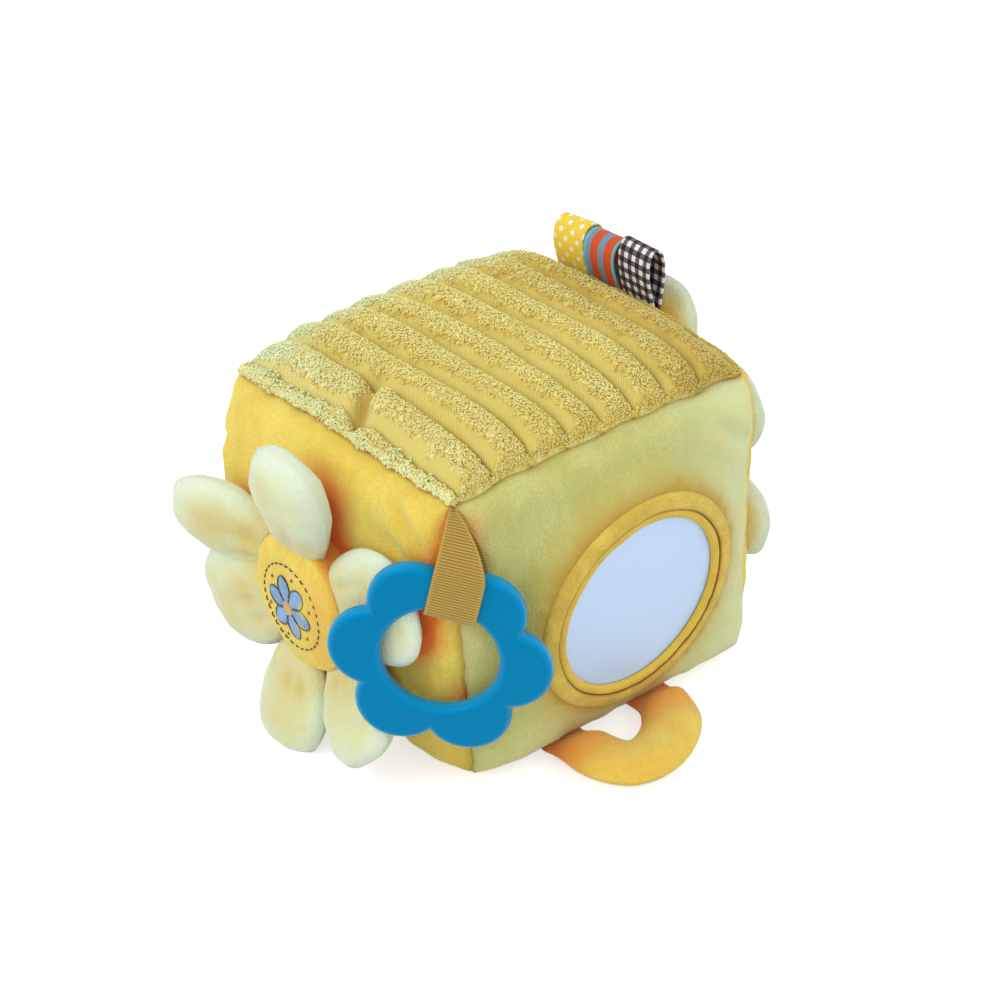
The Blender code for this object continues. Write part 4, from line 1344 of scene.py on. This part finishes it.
def petal_matrix(side, turn, skew, tilt):
    """The petal's root with X along it and Z out of the face, on the side at -X or +X."""
    out = Vector((side, 0, 0))

    def away(degrees):
        angle = math.radians(degrees)
        return Vector((0, -math.sin(angle), math.cos(angle)))

    root = flower_place(side) + out * PETAL_STAND + away(turn) * PETAL_RING_RADIUS
    lean = math.radians(tilt)
    along = away(turn + skew) * math.cos(lean) + out * math.sin(lean)
    across = out.cross(away(turn + skew))
    return matrix_of((along, across, along.cross(across)), root)


def petal_rings(length, width, thickness):
    """Rings of a smooth petal from the middle of its back, over its sewn rim, to the middle of its
    front, with how pale the plush is at each point."""
    turn = np.linspace(0, 2 * math.pi, PETAL_AROUND, endpoint=False)
    along = (1 - np.cos(turn)) / 2
    spread = mix(PETAL_ROOT_SHARE, 1, smooth_step(along / PETAL_TAPER_SHARE))
    power = mix(0.48, 0.72, smooth_step(along / 0.55))
    edge_x = length * along - PETAL_TUCK * (1 - along) ** 2
    edge_y = np.sign(np.sin(turn)) * np.abs(np.sin(turn)) ** power * spread * width / 2
    middle_x = length * PETAL_MIDDLE_SHARE
    shares = [1 - (1 - (step + 0.35) / PETAL_STEPS) ** 1.6 for step in range(PETAL_STEPS)]
    made, pale = [], []
    for side, order in ((-1, shares), (1, shares[::-1])):
        for share in order:
            x = mix(middle_x, edge_x, share)
            full = mix(0.88, 1, smooth_step(x / length / PETAL_TAPER_SHARE))
            z = side * thickness / 2 * full * (1 - share**2.5) ** 0.46
            made.append(np.stack((x, edge_y * share, z), axis=-1))
            faded = 1.0 if side > 0 else smooth_step((share - 0.5) / 0.3)
            pale.append(np.full(PETAL_AROUND, faded))
        if side < 0:
            rim = np.stack((edge_x, edge_y, np.zeros(PETAL_AROUND)), axis=-1)
            made.append(rim + unit(rim - (middle_x, 0, 0)) * PETAL_RIM)
            pale.append(np.full(PETAL_AROUND, 0.9))
    return np.array(made), np.array(pale)


def petal_creases(points, length, seed):
    """How creased a petal is at each point: three creases that run out from its root."""
    random = np.random.default_rng(seed)
    crease = np.zeros(points.shape[:-1])
    for number in range(3):
        start = (number - 1 + random.uniform(-0.3, 0.3)) * PETAL_WIDTH * 0.24
        slope = start / PETAL_WIDTH * 0.9 + random.uniform(-0.15, 0.15)
        reach = length * random.uniform(0.35, 0.6)
        off = points[..., 1] - start - slope * points[..., 0]
        off = off / random.uniform(0.0017, 0.0030)
        fade = 1 - smooth_step(points[..., 0] / reach)
        crease += np.exp(-(off**2)) * fade * random.uniform(0.6, 1.0)
    return crease * smooth_step(points[..., 0] / PETAL_CREASE_FADE)


def petal_shape(length, width, thickness, seed):
    """Rings of a stuffed petal with its puckers, lumps and creases, and four shares for each point:
    how pale, how near its rim, how near its middle and how creased it is."""
    made, pale = petal_rings(length, width, thickness)
    off = np.linalg.norm((made - (length * PETAL_MIDDLE_SHARE, 0, 0))[..., :2], axis=-1)
    rim_share = off / off.max(axis=0)
    flank = np.sign(made[..., 2])
    shift = (seed * 0.31, seed * 0.17, 0)
    pucker = lumps(made * (1, 1, 0.2) + shift, 0.0055, seed) * 0.0007
    pucker = pucker * smooth_step((rim_share - 0.35) / 0.5)
    soft = lumps(made + shift, 0.017, seed + 1) * 0.0013
    crease = petal_creases(made, length, seed)
    made[..., 2] += PETAL_CUP * (made[..., 0] / length) ** 2
    inside = 1 - rim_share**6
    made[..., 2] += flank * inside * (pucker + soft - crease * PETAL_CREASE)
    rim = smooth_step((rim_share - 0.62) / 0.38) * smooth_step(made[..., 0] / length / 0.35)
    patch = 0.65 + 0.7 * lumps(made + shift, 0.012, seed + 2)
    middle = np.clip(smooth_step((0.80 - rim_share) / 0.55) * patch, 0, 1)
    return made, (pale, rim, middle, np.clip(crease, 0, 1) * inside)


def make_petal(name, side, row, middle_shade, seed):
    """A stuffed petal, which stays above the floor."""
    turn, skew, tilt, length_share, width_share, thickness_share, roll, shift = row
    sizes = (PETAL_LENGTH * length_share, PETAL_WIDTH * width_share, PETAL_THICKNESS * thickness_share)
    rings, (pale, rim, middle, crease) = petal_shape(*sizes, seed)
    turned = petal_matrix(side, turn, skew, tilt) @ Matrix.Rotation(math.radians(roll), 4, "X")
    placed = moved_by(Matrix.Translation(shift) @ turned, rings)
    height = placed[..., 2]
    low = PETAL_FLOOR_SQUASH * np.exp(np.minimum(height / PETAL_FLOOR_SQUASH - 1, 0))
    placed[..., 2] = np.where(height < PETAL_FLOOR_SQUASH, low, height)
    # The plush is painted darker at the root, in the creases and in the golden middles: painted shade.
    # The rim value is a painted light rim. The right flower's petals are pale only towards their rims,
    # with golden painted shade in their middles.
    root = smooth_step(1 - rings[..., 0] / (PETAL_LENGTH * 0.42))
    values = {
        "pale": pale * (1 if side < 0 else mix(0.45, 1, rim**2)),
        "rim": rim,
        "painted_shade": np.clip(root * 0.5 + crease * 0.6 + middle * middle_shade, 0, 1),
    }
    shape = loft(placed)
    piece(f"{name}_velour", shape, "petal_velour", name, (name,), values)


def make_flower(label, side, petals, seed):
    """Six petals round a stuffed disc. Returns the disc's place, with Z out of the block."""
    for number, (row, middle_shade) in enumerate(zip(petals, PETAL_MIDDLE_SHADE), 1):
        make_petal(f"{label}_petal_{number}", side, row, middle_shade, seed + number * 3)
    matrix = Matrix.Translation(flower_place(side)) @ Matrix.Rotation(side * math.pi / 2, 4, "Y")
    profile = [(0.0004, FLOWER_DEPTH)]
    for step in range(1, FLOWER_STEPS + 1):
        angle = math.pi / 2 * step / FLOWER_STEPS
        height = mix(FLOWER_RIM_DEPTH, FLOWER_DEPTH, math.cos(angle))
        profile.append((FLOWER_RADIUS * math.sin(angle), height))
    profile += [
        (FLOWER_RADIUS + 0.0003, FLOWER_RIM_DEPTH - 0.0012),
        (FLOWER_RADIUS, FLOWER_RIM_DEPTH - 0.0026),
        (FLOWER_RADIUS * 0.97, FLOWER_RIM_DEPTH / 2),
        (FLOWER_RADIUS * 0.93, 0.0015),
        (FLOWER_RADIUS * 0.90, -0.001),
    ]
    rings = turn_rings(profile, FLOWER_AROUND)
    share = np.hypot(rings[..., 0], rings[..., 1]) / FLOWER_RADIUS
    rings[..., 2] += lumps(rings, 0.013, seed + 40) * 0.0006 * (share < 0.98)
    rings[..., 2] += lumps(rings, 0.0045, seed + 41) * 0.0007 * smooth_step((share - 0.72) / 0.25)
    shape = loft(moved_by(matrix, rings))
    # Painted shade round the disc's rim, where the petals crowd it, and towards -Y; the blotches in it
    # are random
    rim = np.repeat([*[0.0] * 14, 0.1, 0.2, 0.4, 0.8, *[1.0] * 4], FLOWER_AROUND)
    forward = smooth_step((FLOWER_Y - shape[0][:, 1]) / FLOWER_RADIUS)
    blotches = np.clip(lumps(shape[0], 0.008, seed + 42), 0, 1)
    values = {"painted_shade": np.clip(rim * 0.5 + forward * 0.20 + blotches * 0.20, 0, 1)}
    replaces = (f"{label}_flower_centre",)
    made = piece(f"{label}_flower_velour", shape, "golden_velour", replaces=replaces, values=values)
    return matrix


def thread(matrix, places, stands, radius, closed=False):
    """A round thread over the flower's dome, through these places and this far above it."""
    line = []
    for (p, q), stand in zip(places, stands):
        share = min(1.0, (p**2 + q**2) / FLOWER_RADIUS**2)
        height = mix(FLOWER_RIM_DEPTH, FLOWER_DEPTH, math.sqrt(1 - share))
        line.append(matrix @ Vector((p, q, height + stand)))
    last = len(line) - 1
    rings = []
    for index, point in enumerate(line):
        before, after = line[max(index - 1, 0)], line[min(index + 1, last)]
        if closed:
            before, after = line[index - 1], line[(index + 1) % len(line)]
        turn = (after - before).normalized().to_track_quat("Z", "Y")
        angles = [math.pi * side / 3 for side in range(6)]
        ring = [point + turn @ Vector((math.cos(a) * radius, math.sin(a) * radius, 0)) for a in angles]
        rings.append([list(place) for place in ring])
    return loft(np.array(rings), closed)


def on_circle(radius, angle):
    return np.array((radius * math.cos(angle), radius * math.sin(angle)))


def blossom_petal(matrix, turn):
    """A petal's satin stitches, and its outline."""
    away = on_circle(1, turn)
    across = np.array((-math.sin(turn), math.cos(turn)))
    stitches = []
    for number in range(13):
        share = (number + 0.5) / 13 * 2 - 1
        half = BLOSSOM_WIDTH * math.sqrt(1 - share**2)
        middle = away * (BLOSSOM_REACH + share * BLOSSOM_LENGTH)
        places = [middle + across * half * part for part in (-1, -0.5, 0, 0.5, 1)]
        stands = (0.0, 0.00028, 0.00036, 0.00028, 0.0)
        stitches.append(thread(matrix, places, stands, THREAD_RADIUS))
    places = []
    for step in range(32):
        x, y = on_circle(1, 2 * math.pi * step / 32)
        along = BLOSSOM_REACH + 1.04 * BLOSSOM_LENGTH * x
        places.append(away * along + across * 1.06 * BLOSSOM_WIDTH * y)
    outline = thread(matrix, places, [0.00030] * 32, THIN_THREAD_RADIUS, closed=True)
    return stitches, outline


def make_embroidery(matrix):
    """A small stitched blossom in the middle of the first flower, with a ring of running stitch."""
    petals, outlines, knots, middle = [], [], [], []
    for number in range(BLOSSOM_PETALS):
        stitches, outline = blossom_petal(matrix, 2 * math.pi * number / BLOSSOM_PETALS + BLOSSOM_TURN)
        petals += stitches
        outlines.append(outline)
        between = 2 * math.pi * (number + 0.5) / BLOSSOM_PETALS + BLOSSOM_TURN
        places = [
            on_circle(KNOT_RING, between) + on_circle(KNOT_RADIUS, 2 * math.pi * step / 8)
            for step in range(9)
        ]
        stands = [0.0003 + 0.00003 * step for step in range(9)]
        knots.append(thread(matrix, places, stands, KNOT_THREAD_RADIUS))
    for stitch in range(STITCHES):
        angles = [2 * math.pi * (stitch + share) / STITCHES for share in (0, 0.15, 0.3, 0.45, 0.6)]
        places = [on_circle(STITCH_RING, angle) for angle in angles]
        stands = (-0.0002, 0.0002, 0.00028, 0.0002, -0.0002)
        outlines.append(thread(matrix, places, stands, THIN_THREAD_RADIUS))
    for number in range(11):
        share = (number + 0.5) / 11 * 2 - 1
        half = BLOSSOM_MIDDLE * math.sqrt(1 - share**2)
        parts = (-1, -0.5, 0, 0.5, 1)
        places = [(BLOSSOM_MIDDLE * share, half * part) for part in parts]
        stands = [0.00035 + 0.0003 * (1 - part**2) for part in parts]
        middle.append(thread(matrix, places, stands, KNOT_THREAD_RADIUS))
    piece("blossom_petals", join_parts(petals), "blue_thread")
    piece("blossom_outlines", join_parts(outlines), "dark_thread")
    piece("blossom_middle", join_parts(middle), "tan_thread")
    piece("blossom_knots", join_parts(knots), "red_thread")


def ribbon_frame():
    """The corner ribbon's seam, with X along its hinge, Y out of the corner and Z up."""
    along = Vector((-1, 1, 0)).normalized()
    out = Vector((-1, -1, 0)).normalized()
    corner = Vector((-TOP_WIDTH / 2, -TOP_DEPTH / 2, HEIGHT))
    seam = corner + along * RIBBON_APEX_OFFSET + out * RIBBON_APEX_STAND
    return matrix_of((along, out, Vector((0, 0, 1))), seam)


def corner_reach():
    """How far the corner's seam stands out past the ribbon's own seam, as in the part."""
    out = np.array(Vector((-1, -1, 0)).normalized())
    level = np.linspace(-1, 1, 17)
    up = (level + 1) / 2
    bow = SEAM_BOW * (1 - level**2)
    x = BASE_SHIFT * (1 - up) - (mix(BASE_WIDTH, TOP_WIDTH, up) / 2 + bow)
    y = -(mix(BASE_DEPTH, TOP_DEPTH, up) / 2 + bow)
    points = np.stack((x, y, np.zeros_like(x)), axis=-1)
    return float(np.max((points - np.array(ribbon_frame().translation)) @ out))


def strip(name, edges, columns, thickness, finish, body, node_name, ribs):
    """A ribbon between two edges of as many points, with ribs of this height across it. Returns it
    and its length."""
    left_edge, right_edge = edges
    share = np.linspace(0, 1, columns)[None, :, None]
    grid = left_edge[:, None] * (1 - share) + right_edge[:, None] * share
    along = lengths_along((left_edge + right_edge) / 2)
    width = np.linalg.norm(right_edge - left_edge, axis=1)[:, None]
    across = width * share[..., 0]
    rib = (1 - np.cos(2 * math.pi * along / GROSGRAIN_PITCH)) / 2
    rib = np.broadcast_to(rib[:, None], across.shape)
    from_edge = np.minimum(across, width - across)
    edge = smooth_step(1 - np.abs(from_edge - SELVEDGE_INSET) / SELVEDGE_WIDTH)
    relief = ribs * (rib * (1 - edge) + edge * 0.9)
    stand = grid_normals(grid) * (thickness / 2 + relief[..., None])
    places = np.stack((across, np.broadcast_to(along[:, None], across.shape)), axis=-1)

    def both_sides(outer, inner):
        return np.concatenate((outer, inner[:, ::-1]), axis=1)

    shape = loft(both_sides(grid + stand, grid - stand))
    values = {"rib": both_sides(rib, rib), "edge": both_sides(edge, edge)}
    made = piece(name, shape, finish, body, (node_name,), values, both_sides(places, places))
    return made, along[-1]


def ribbon_line(back, radius):
    """The ribbon's middle line as drops and stands: down its front, round the ring and up its back."""
    bend = RIBBON_DROP - radius
    line = []
    for step in range(61):
        drop = bend * step / 60
        flare = smooth_step(drop / RIBBON_FLARE)
        line.append((drop, mix(RIBBON_THICKNESS, back + 2 * radius, flare)))
    for step in range(1, 40):
        angle = math.pi * step / 40
        line.append((bend + radius * math.sin(angle), back + radius + radius * math.cos(angle)))
    for step in range(61):
        drop = bend * (1 - step / 60)
        line.append((drop, mix(-RIBBON_THICKNESS / 4, back, smooth_step(drop / RIBBON_NECK))))
    line = np.array(line)
    along = lengths_along(line)
    even = np.linspace(0, along[-1], int(along[-1] / (GROSGRAIN_PITCH / 6)) + 1)
    return [np.interp(even, along, column)[:, None] for column in line.T]


def make_ribbon():
    """The corner ribbon. Returns the place of the ring that hangs in its fold."""
    matrix = ribbon_frame()
    down = np.array((math.sin(RIBBON_SKEW), 0, -math.cos(RIBBON_SKEW)))
    across = np.array((-math.cos(RIBBON_SKEW), 0, -math.sin(RIBBON_SKEW)))
    out = np.array((0, 1.0, 0))
    radius = RING_THICKNESS / 2 + RING_CLEARANCE + RIBBON_THICKNESS / 2
    back = corner_reach() + RIBBON_BACK_STAND
    drops, stands = ribbon_line(back, radius)
    left_edge = down * drops + out * stands
    flare = np.sin(math.pi / 2 * np.minimum(1, drops / (RIBBON_FLARE * 1.15)))
    width = mix(RIBBON_NECK, RIBBON_WIDTH, flare)
    edges = [moved_by(matrix, edge) for edge in (left_edge, left_edge + across * width)]
    names = ("golden_ribbon", "ribbon", "corner_ribbon")
    thickness = RIBBON_THICKNESS * 0.7
    made, length = strip("corner_ribbon_grosgrain", edges, 25, thickness, *names, GROSGRAIN_HEIGHT)

    chord = math.sqrt(RING_HOLE_RADIUS**2 - (RIBBON_WIDTH / 2) ** 2)
    seat = chord - RING_CLEARANCE - RIBBON_THICKNESS
    middle = down * (RIBBON_DROP + seat - RIBBON_THICKNESS / 2)
    middle = middle + across * RIBBON_WIDTH / 2 + out * (back + radius)
    ring = matrix_of((across, -down, np.cross(across, -down)), middle)
    return matrix @ ring @ Matrix.Rotation(RING_TURN, 4, "Z")


def ring_outline(grown):
    """The ring's lobed outline, this far outside the inner one that its rounded edge grows from."""
    radius = RING_LOBE_RADIUS - RING_EDGE_RADIUS + grown
    half_lobe = math.pi / RING_LOBES
    off_line = RING_LOBE_CENTRES * math.sin(half_lobe)
    notch = RING_LOBE_CENTRES * math.cos(half_lobe) + math.sqrt(radius**2 - off_line**2)
    x, y = on_circle(notch, half_lobe)
    reach = math.atan2(y, x - RING_LOBE_CENTRES)
    outline = []
    for lobe in range(RING_LOBES):
        middle = (lobe + 0.5) * 2 * half_lobe + math.pi / 2
        for step in range(RING_LOBE_STEPS):
            angle = middle + mix(-reach, reach, step / RING_LOBE_STEPS)
            outline.append(on_circle(RING_LOBE_CENTRES, middle) + on_circle(radius, angle))
    return np.array(outline)


def make_ring(matrix):
    """A flat ring with six round lobes, a round hole and rounded edges."""
    inner = ring_outline(0)
    around = np.arctan2(inner[:, 1], inner[:, 0])
    circle = np.column_stack((np.cos(around), np.sin(around)))
    edge = [math.pi / 2 * step / RING_EDGE_STEPS for step in range(RING_EDGE_STEPS + 1)]
    upper = []
    for angle in edge:
        radius = RING_HOLE_RADIUS + RING_EDGE_RADIUS * (1 - math.cos(angle))
        upper.append((circle * radius, math.sin(angle)))
    flat = circle * (RING_HOLE_RADIUS + RING_EDGE_RADIUS)
    for share in (0.04, 0.25, 0.5, 0.75, 0.96):
        upper.append((mix(flat, inner, share), 1.0))
    for angle in edge[::-1]:
        upper.append((ring_outline(RING_EDGE_RADIUS * math.cos(angle)), math.sin(angle)))
    half = RING_THICKNESS / 2
    rings, rim = [], []
    for side, levels in ((1, upper), (-1, upper[::-1])):
        for outline, rise in levels:
            height = side * (half - RING_EDGE_RADIUS + RING_EDGE_RADIUS * rise)
            rings.append(np.column_stack((outline, np.full(len(outline), height))))
            # A painted highlight, brightest round the middle of the edge
            share = max(0.0, 1 - abs(height) / half)
            rim.append(np.full(len(outline), 0.6 * share**0.5))
    shape = loft(moved_by(matrix, np.array(rings)), joined=True)
    piece("lobed_ring", shape, "blue_plastic", "ring", ("teether_ring",), {"rim": rim})


def tag_foot(y):
    """Where the middle of a tag's ribbon leaves the top seam of the +X side."""
    bow = 1 - (2 * y / TOP_DEPTH) ** 2
    return np.array((TOP_WIDTH / 2 + SEAM_BOW * bow, y, HEIGHT + TOP_SEAM_BOW * bow + TAG_SEAT))


def make_tags():
    """Three loops of ribbon with both ends in the top seam."""
    for name, (along, height_share, opening_share, out, back) in TAG_SHARES.items():
        y = along * TOP_DEPTH / 2
        around = np.linspace(0, 2 * math.pi, 181)
        z = TAG_HEIGHT * height_share * np.sin(around / 2)
        x = TAG_OPENING * opening_share / 2 * np.sin(around) + TAG_FOOT * np.cos(around / 4) ** 2
        loop = np.stack((x + z * math.tan(math.radians(out)), z * math.tan(math.radians(back)), z), -1)
        edges = [tag_foot(edge_y) + loop for edge_y in (y - TAG_WIDTH / 2, y + TAG_WIDTH / 2)]
        finish = name.replace("tag_", "") + "_ribbon"
        names = (finish, name, name)
        made, length = strip(f"{name}_ribbon", edges, 33, TAG_THICKNESS, *names, TAG_RIB_HEIGHT)


def handle_line(angle):
    """The handle's middle line from one end at 0 to the other at pi."""
    sine = math.sin(angle)
    x = -HANDLE_SPAN / 2 * math.cos(angle) - HANDLE_SKEW * sine**2
    return np.array((x, -HANDLE_REACH * max(0, sine) ** HANDLE_BEND_POWER))


def make_handle():
    """A stuffed tube bent into a loop, with thin ends sewn into the bottom seam under the mirror."""
    turn = np.linspace(0, 2 * math.pi, HANDLE_AROUND, endpoint=False)
    half = HANDLE_THICKNESS / 2
    ridge = 1 + 0.05 * np.exp(-((np.sin(turn / 2) / 0.07) ** 2))
    rings, painted_shade = [], []
    for step in range(HANDLE_STEPS + 1):
        angle = math.pi * step / HANDLE_STEPS
        x, y = handle_line(angle)
        dx, dy = handle_line(angle + 0.01) - handle_line(angle - 0.01)
        away = np.array((dy, -dx)) / math.hypot(dx, dy)
        taper = smooth_step(math.sin(angle) / HANDLE_TAPER_SHARE)
        radius = HANDLE_BAND / 2 * mix(HANDLE_END_SHARE, 1, taper)
        ring_x = x + away[0] * np.cos(turn) * radius * ridge
        ring_y = y + away[1] * np.cos(turn) * radius * ridge
        full = smooth_step(-ring_y / HANDLE_PINCH_LENGTH)
        height = mix(HANDLE_PINCH_SHARE, 1, full) * np.sin(turn)
        ring_z = height * half + mix(0, half - BASE_LIFT, full)
        rings.append(np.stack((ring_x, ring_y, ring_z), axis=-1))
        painted_shade.append(1 - smooth_step((-ring_y - HANDLE_SHADE_START) / HANDLE_SHADE_REACH))
    tuck = np.array((0, HANDLE_TUCK, 0))
    rings = np.array([rings[0] + tuck, *rings, rings[-1] + tuck])
    painted_shade = np.array([painted_shade[0], *painted_shade, painted_shade[-1]])
    rings[..., 2] = np.maximum(rings[..., 2], -BASE_LIFT)
    soft = lumps(rings, 0.011, 71) * 0.0006
    creases = lumps(rings * (1, 0.6, 1), 0.0035, 72) * 0.0005 * painted_shade
    rings[..., 2] += (soft + creases) * (rings[..., 2] > 0)
    seam_y = -(BASE_DEPTH / 2 + SEAM_BOW)
    shape = loft(rings + (HANDLE_X, seam_y - HANDLE_HINGE_STAND, BASE_LIFT))
    # Painted shade: a little all over the handle and more near its sewn ends, under the block
    values = {"painted_shade": 0.07 + painted_shade**1.3 * 0.78}
    piece("handle_velour", shape, "golden_velour", "handle", ("handle_loop",), values)


def make_camera():
    back = Vector((
        math.sin(CAMERA_AZIMUTH) * math.cos(CAMERA_ELEVATION),
        -math.cos(CAMERA_AZIMUTH) * math.cos(CAMERA_ELEVATION),
        math.sin(CAMERA_ELEVATION),
    ))
    right = Vector((math.cos(CAMERA_AZIMUTH), math.sin(CAMERA_AZIMUTH), 0))
    data = bpy.data.cameras.new("camera")
    data.lens = CAMERA_LENS
    data.sensor_width = 36
    camera = link("camera", data)
    turn = matrix_of((right, back.cross(right), back), CAMERA_PLACE)
    camera.matrix_world = turn @ Matrix.Rotation(CAMERA_ROLL, 4, "Z")
    bpy.context.scene.camera = camera


def seen_straight(tree):
    """1 for camera, glossy and transmission rays, which see the white background, 0 for the rest."""
    rays = node(tree, "ShaderNodeLightPath", {}).outputs
    seen = math_value(tree, "MAXIMUM", rays["Is Camera Ray"], rays["Is Glossy Ray"])
    return math_value(tree, "MAXIMUM", seen, rays["Is Transmission Ray"])


def make_world():
    """An even white world, which lights less than it shows."""
    world = bpy.data.worlds.new("studio")
    bpy.context.scene.world = world
    world.use_nodes = True
    tree = world.node_tree
    extra = math_value(tree, "MULTIPLY", seen_straight(tree), 1.0 - WORLD_LIGHT)
    strength = math_value(tree, "ADD", extra, WORLD_LIGHT)
    fill(tree, tree.nodes["Background"], {"Strength": strength, "Color": (1, 1, 1, 1)})


def make_floor():
    """A white floor that takes soft shadows and glows where it is seen."""
    tree = new_material("white_floor")
    tree.nodes.clear()
    matte = node(tree, "ShaderNodeBsdfDiffuse", {"Color": FLOOR_GREY}).outputs[0]
    glow = node(tree, "ShaderNodeEmission", {"Color": (1, 1, 1, 1), "Strength": FLOOR_GLOW}).outputs[0]
    lit = node(tree, "ShaderNodeAddShader", {0: matte, 1: glow}).outputs[0]
    choice = node(tree, "ShaderNodeMixShader", {"Fac": seen_straight(tree), 1: matte, 2: lit})
    node(tree, "ShaderNodeOutputMaterial", {"Surface": choice.outputs[0]})
    mesh = bpy.data.meshes.new("floor")
    corners = [(x * FLOOR_HALF, y * FLOOR_HALF, 0) for x, y in ((-1, -1), (1, -1), (1, 1), (-1, 1))]
    mesh.from_pydata(corners, [], [(0, 1, 2, 3)])
    mesh.materials.append(FINISHES["white_floor"])
    link("floor", mesh)


def make_lights():
    for name, place, size, watts in LIGHTS:
        data = bpy.data.lights.new(name, "AREA")
        data.shape = "DISK"
        data.size = size
        data.energy = watts
        lamp = link(name, data)
        lamp.location = place
        lamp.rotation_mode = "QUATERNION"
        lamp.rotation_quaternion = (Vector(place) - LIGHTS_AIM).to_track_quat("Z", "Y")


def main():
    make_camera()
    make_finishes()
    make_cover()
    make_terry()
    make_mirror()
    left = make_flower("left", -1, LEFT_PETALS, 100)
    make_flower("right", 1, RIGHT_PETALS, 200)
    make_embroidery(left)
    make_ring(make_ribbon())
    make_tags()
    make_handle()
    make_world()
    make_floor()
    make_lights()
    bpy.context.scene.view_settings.view_transform = "Standard"


main()
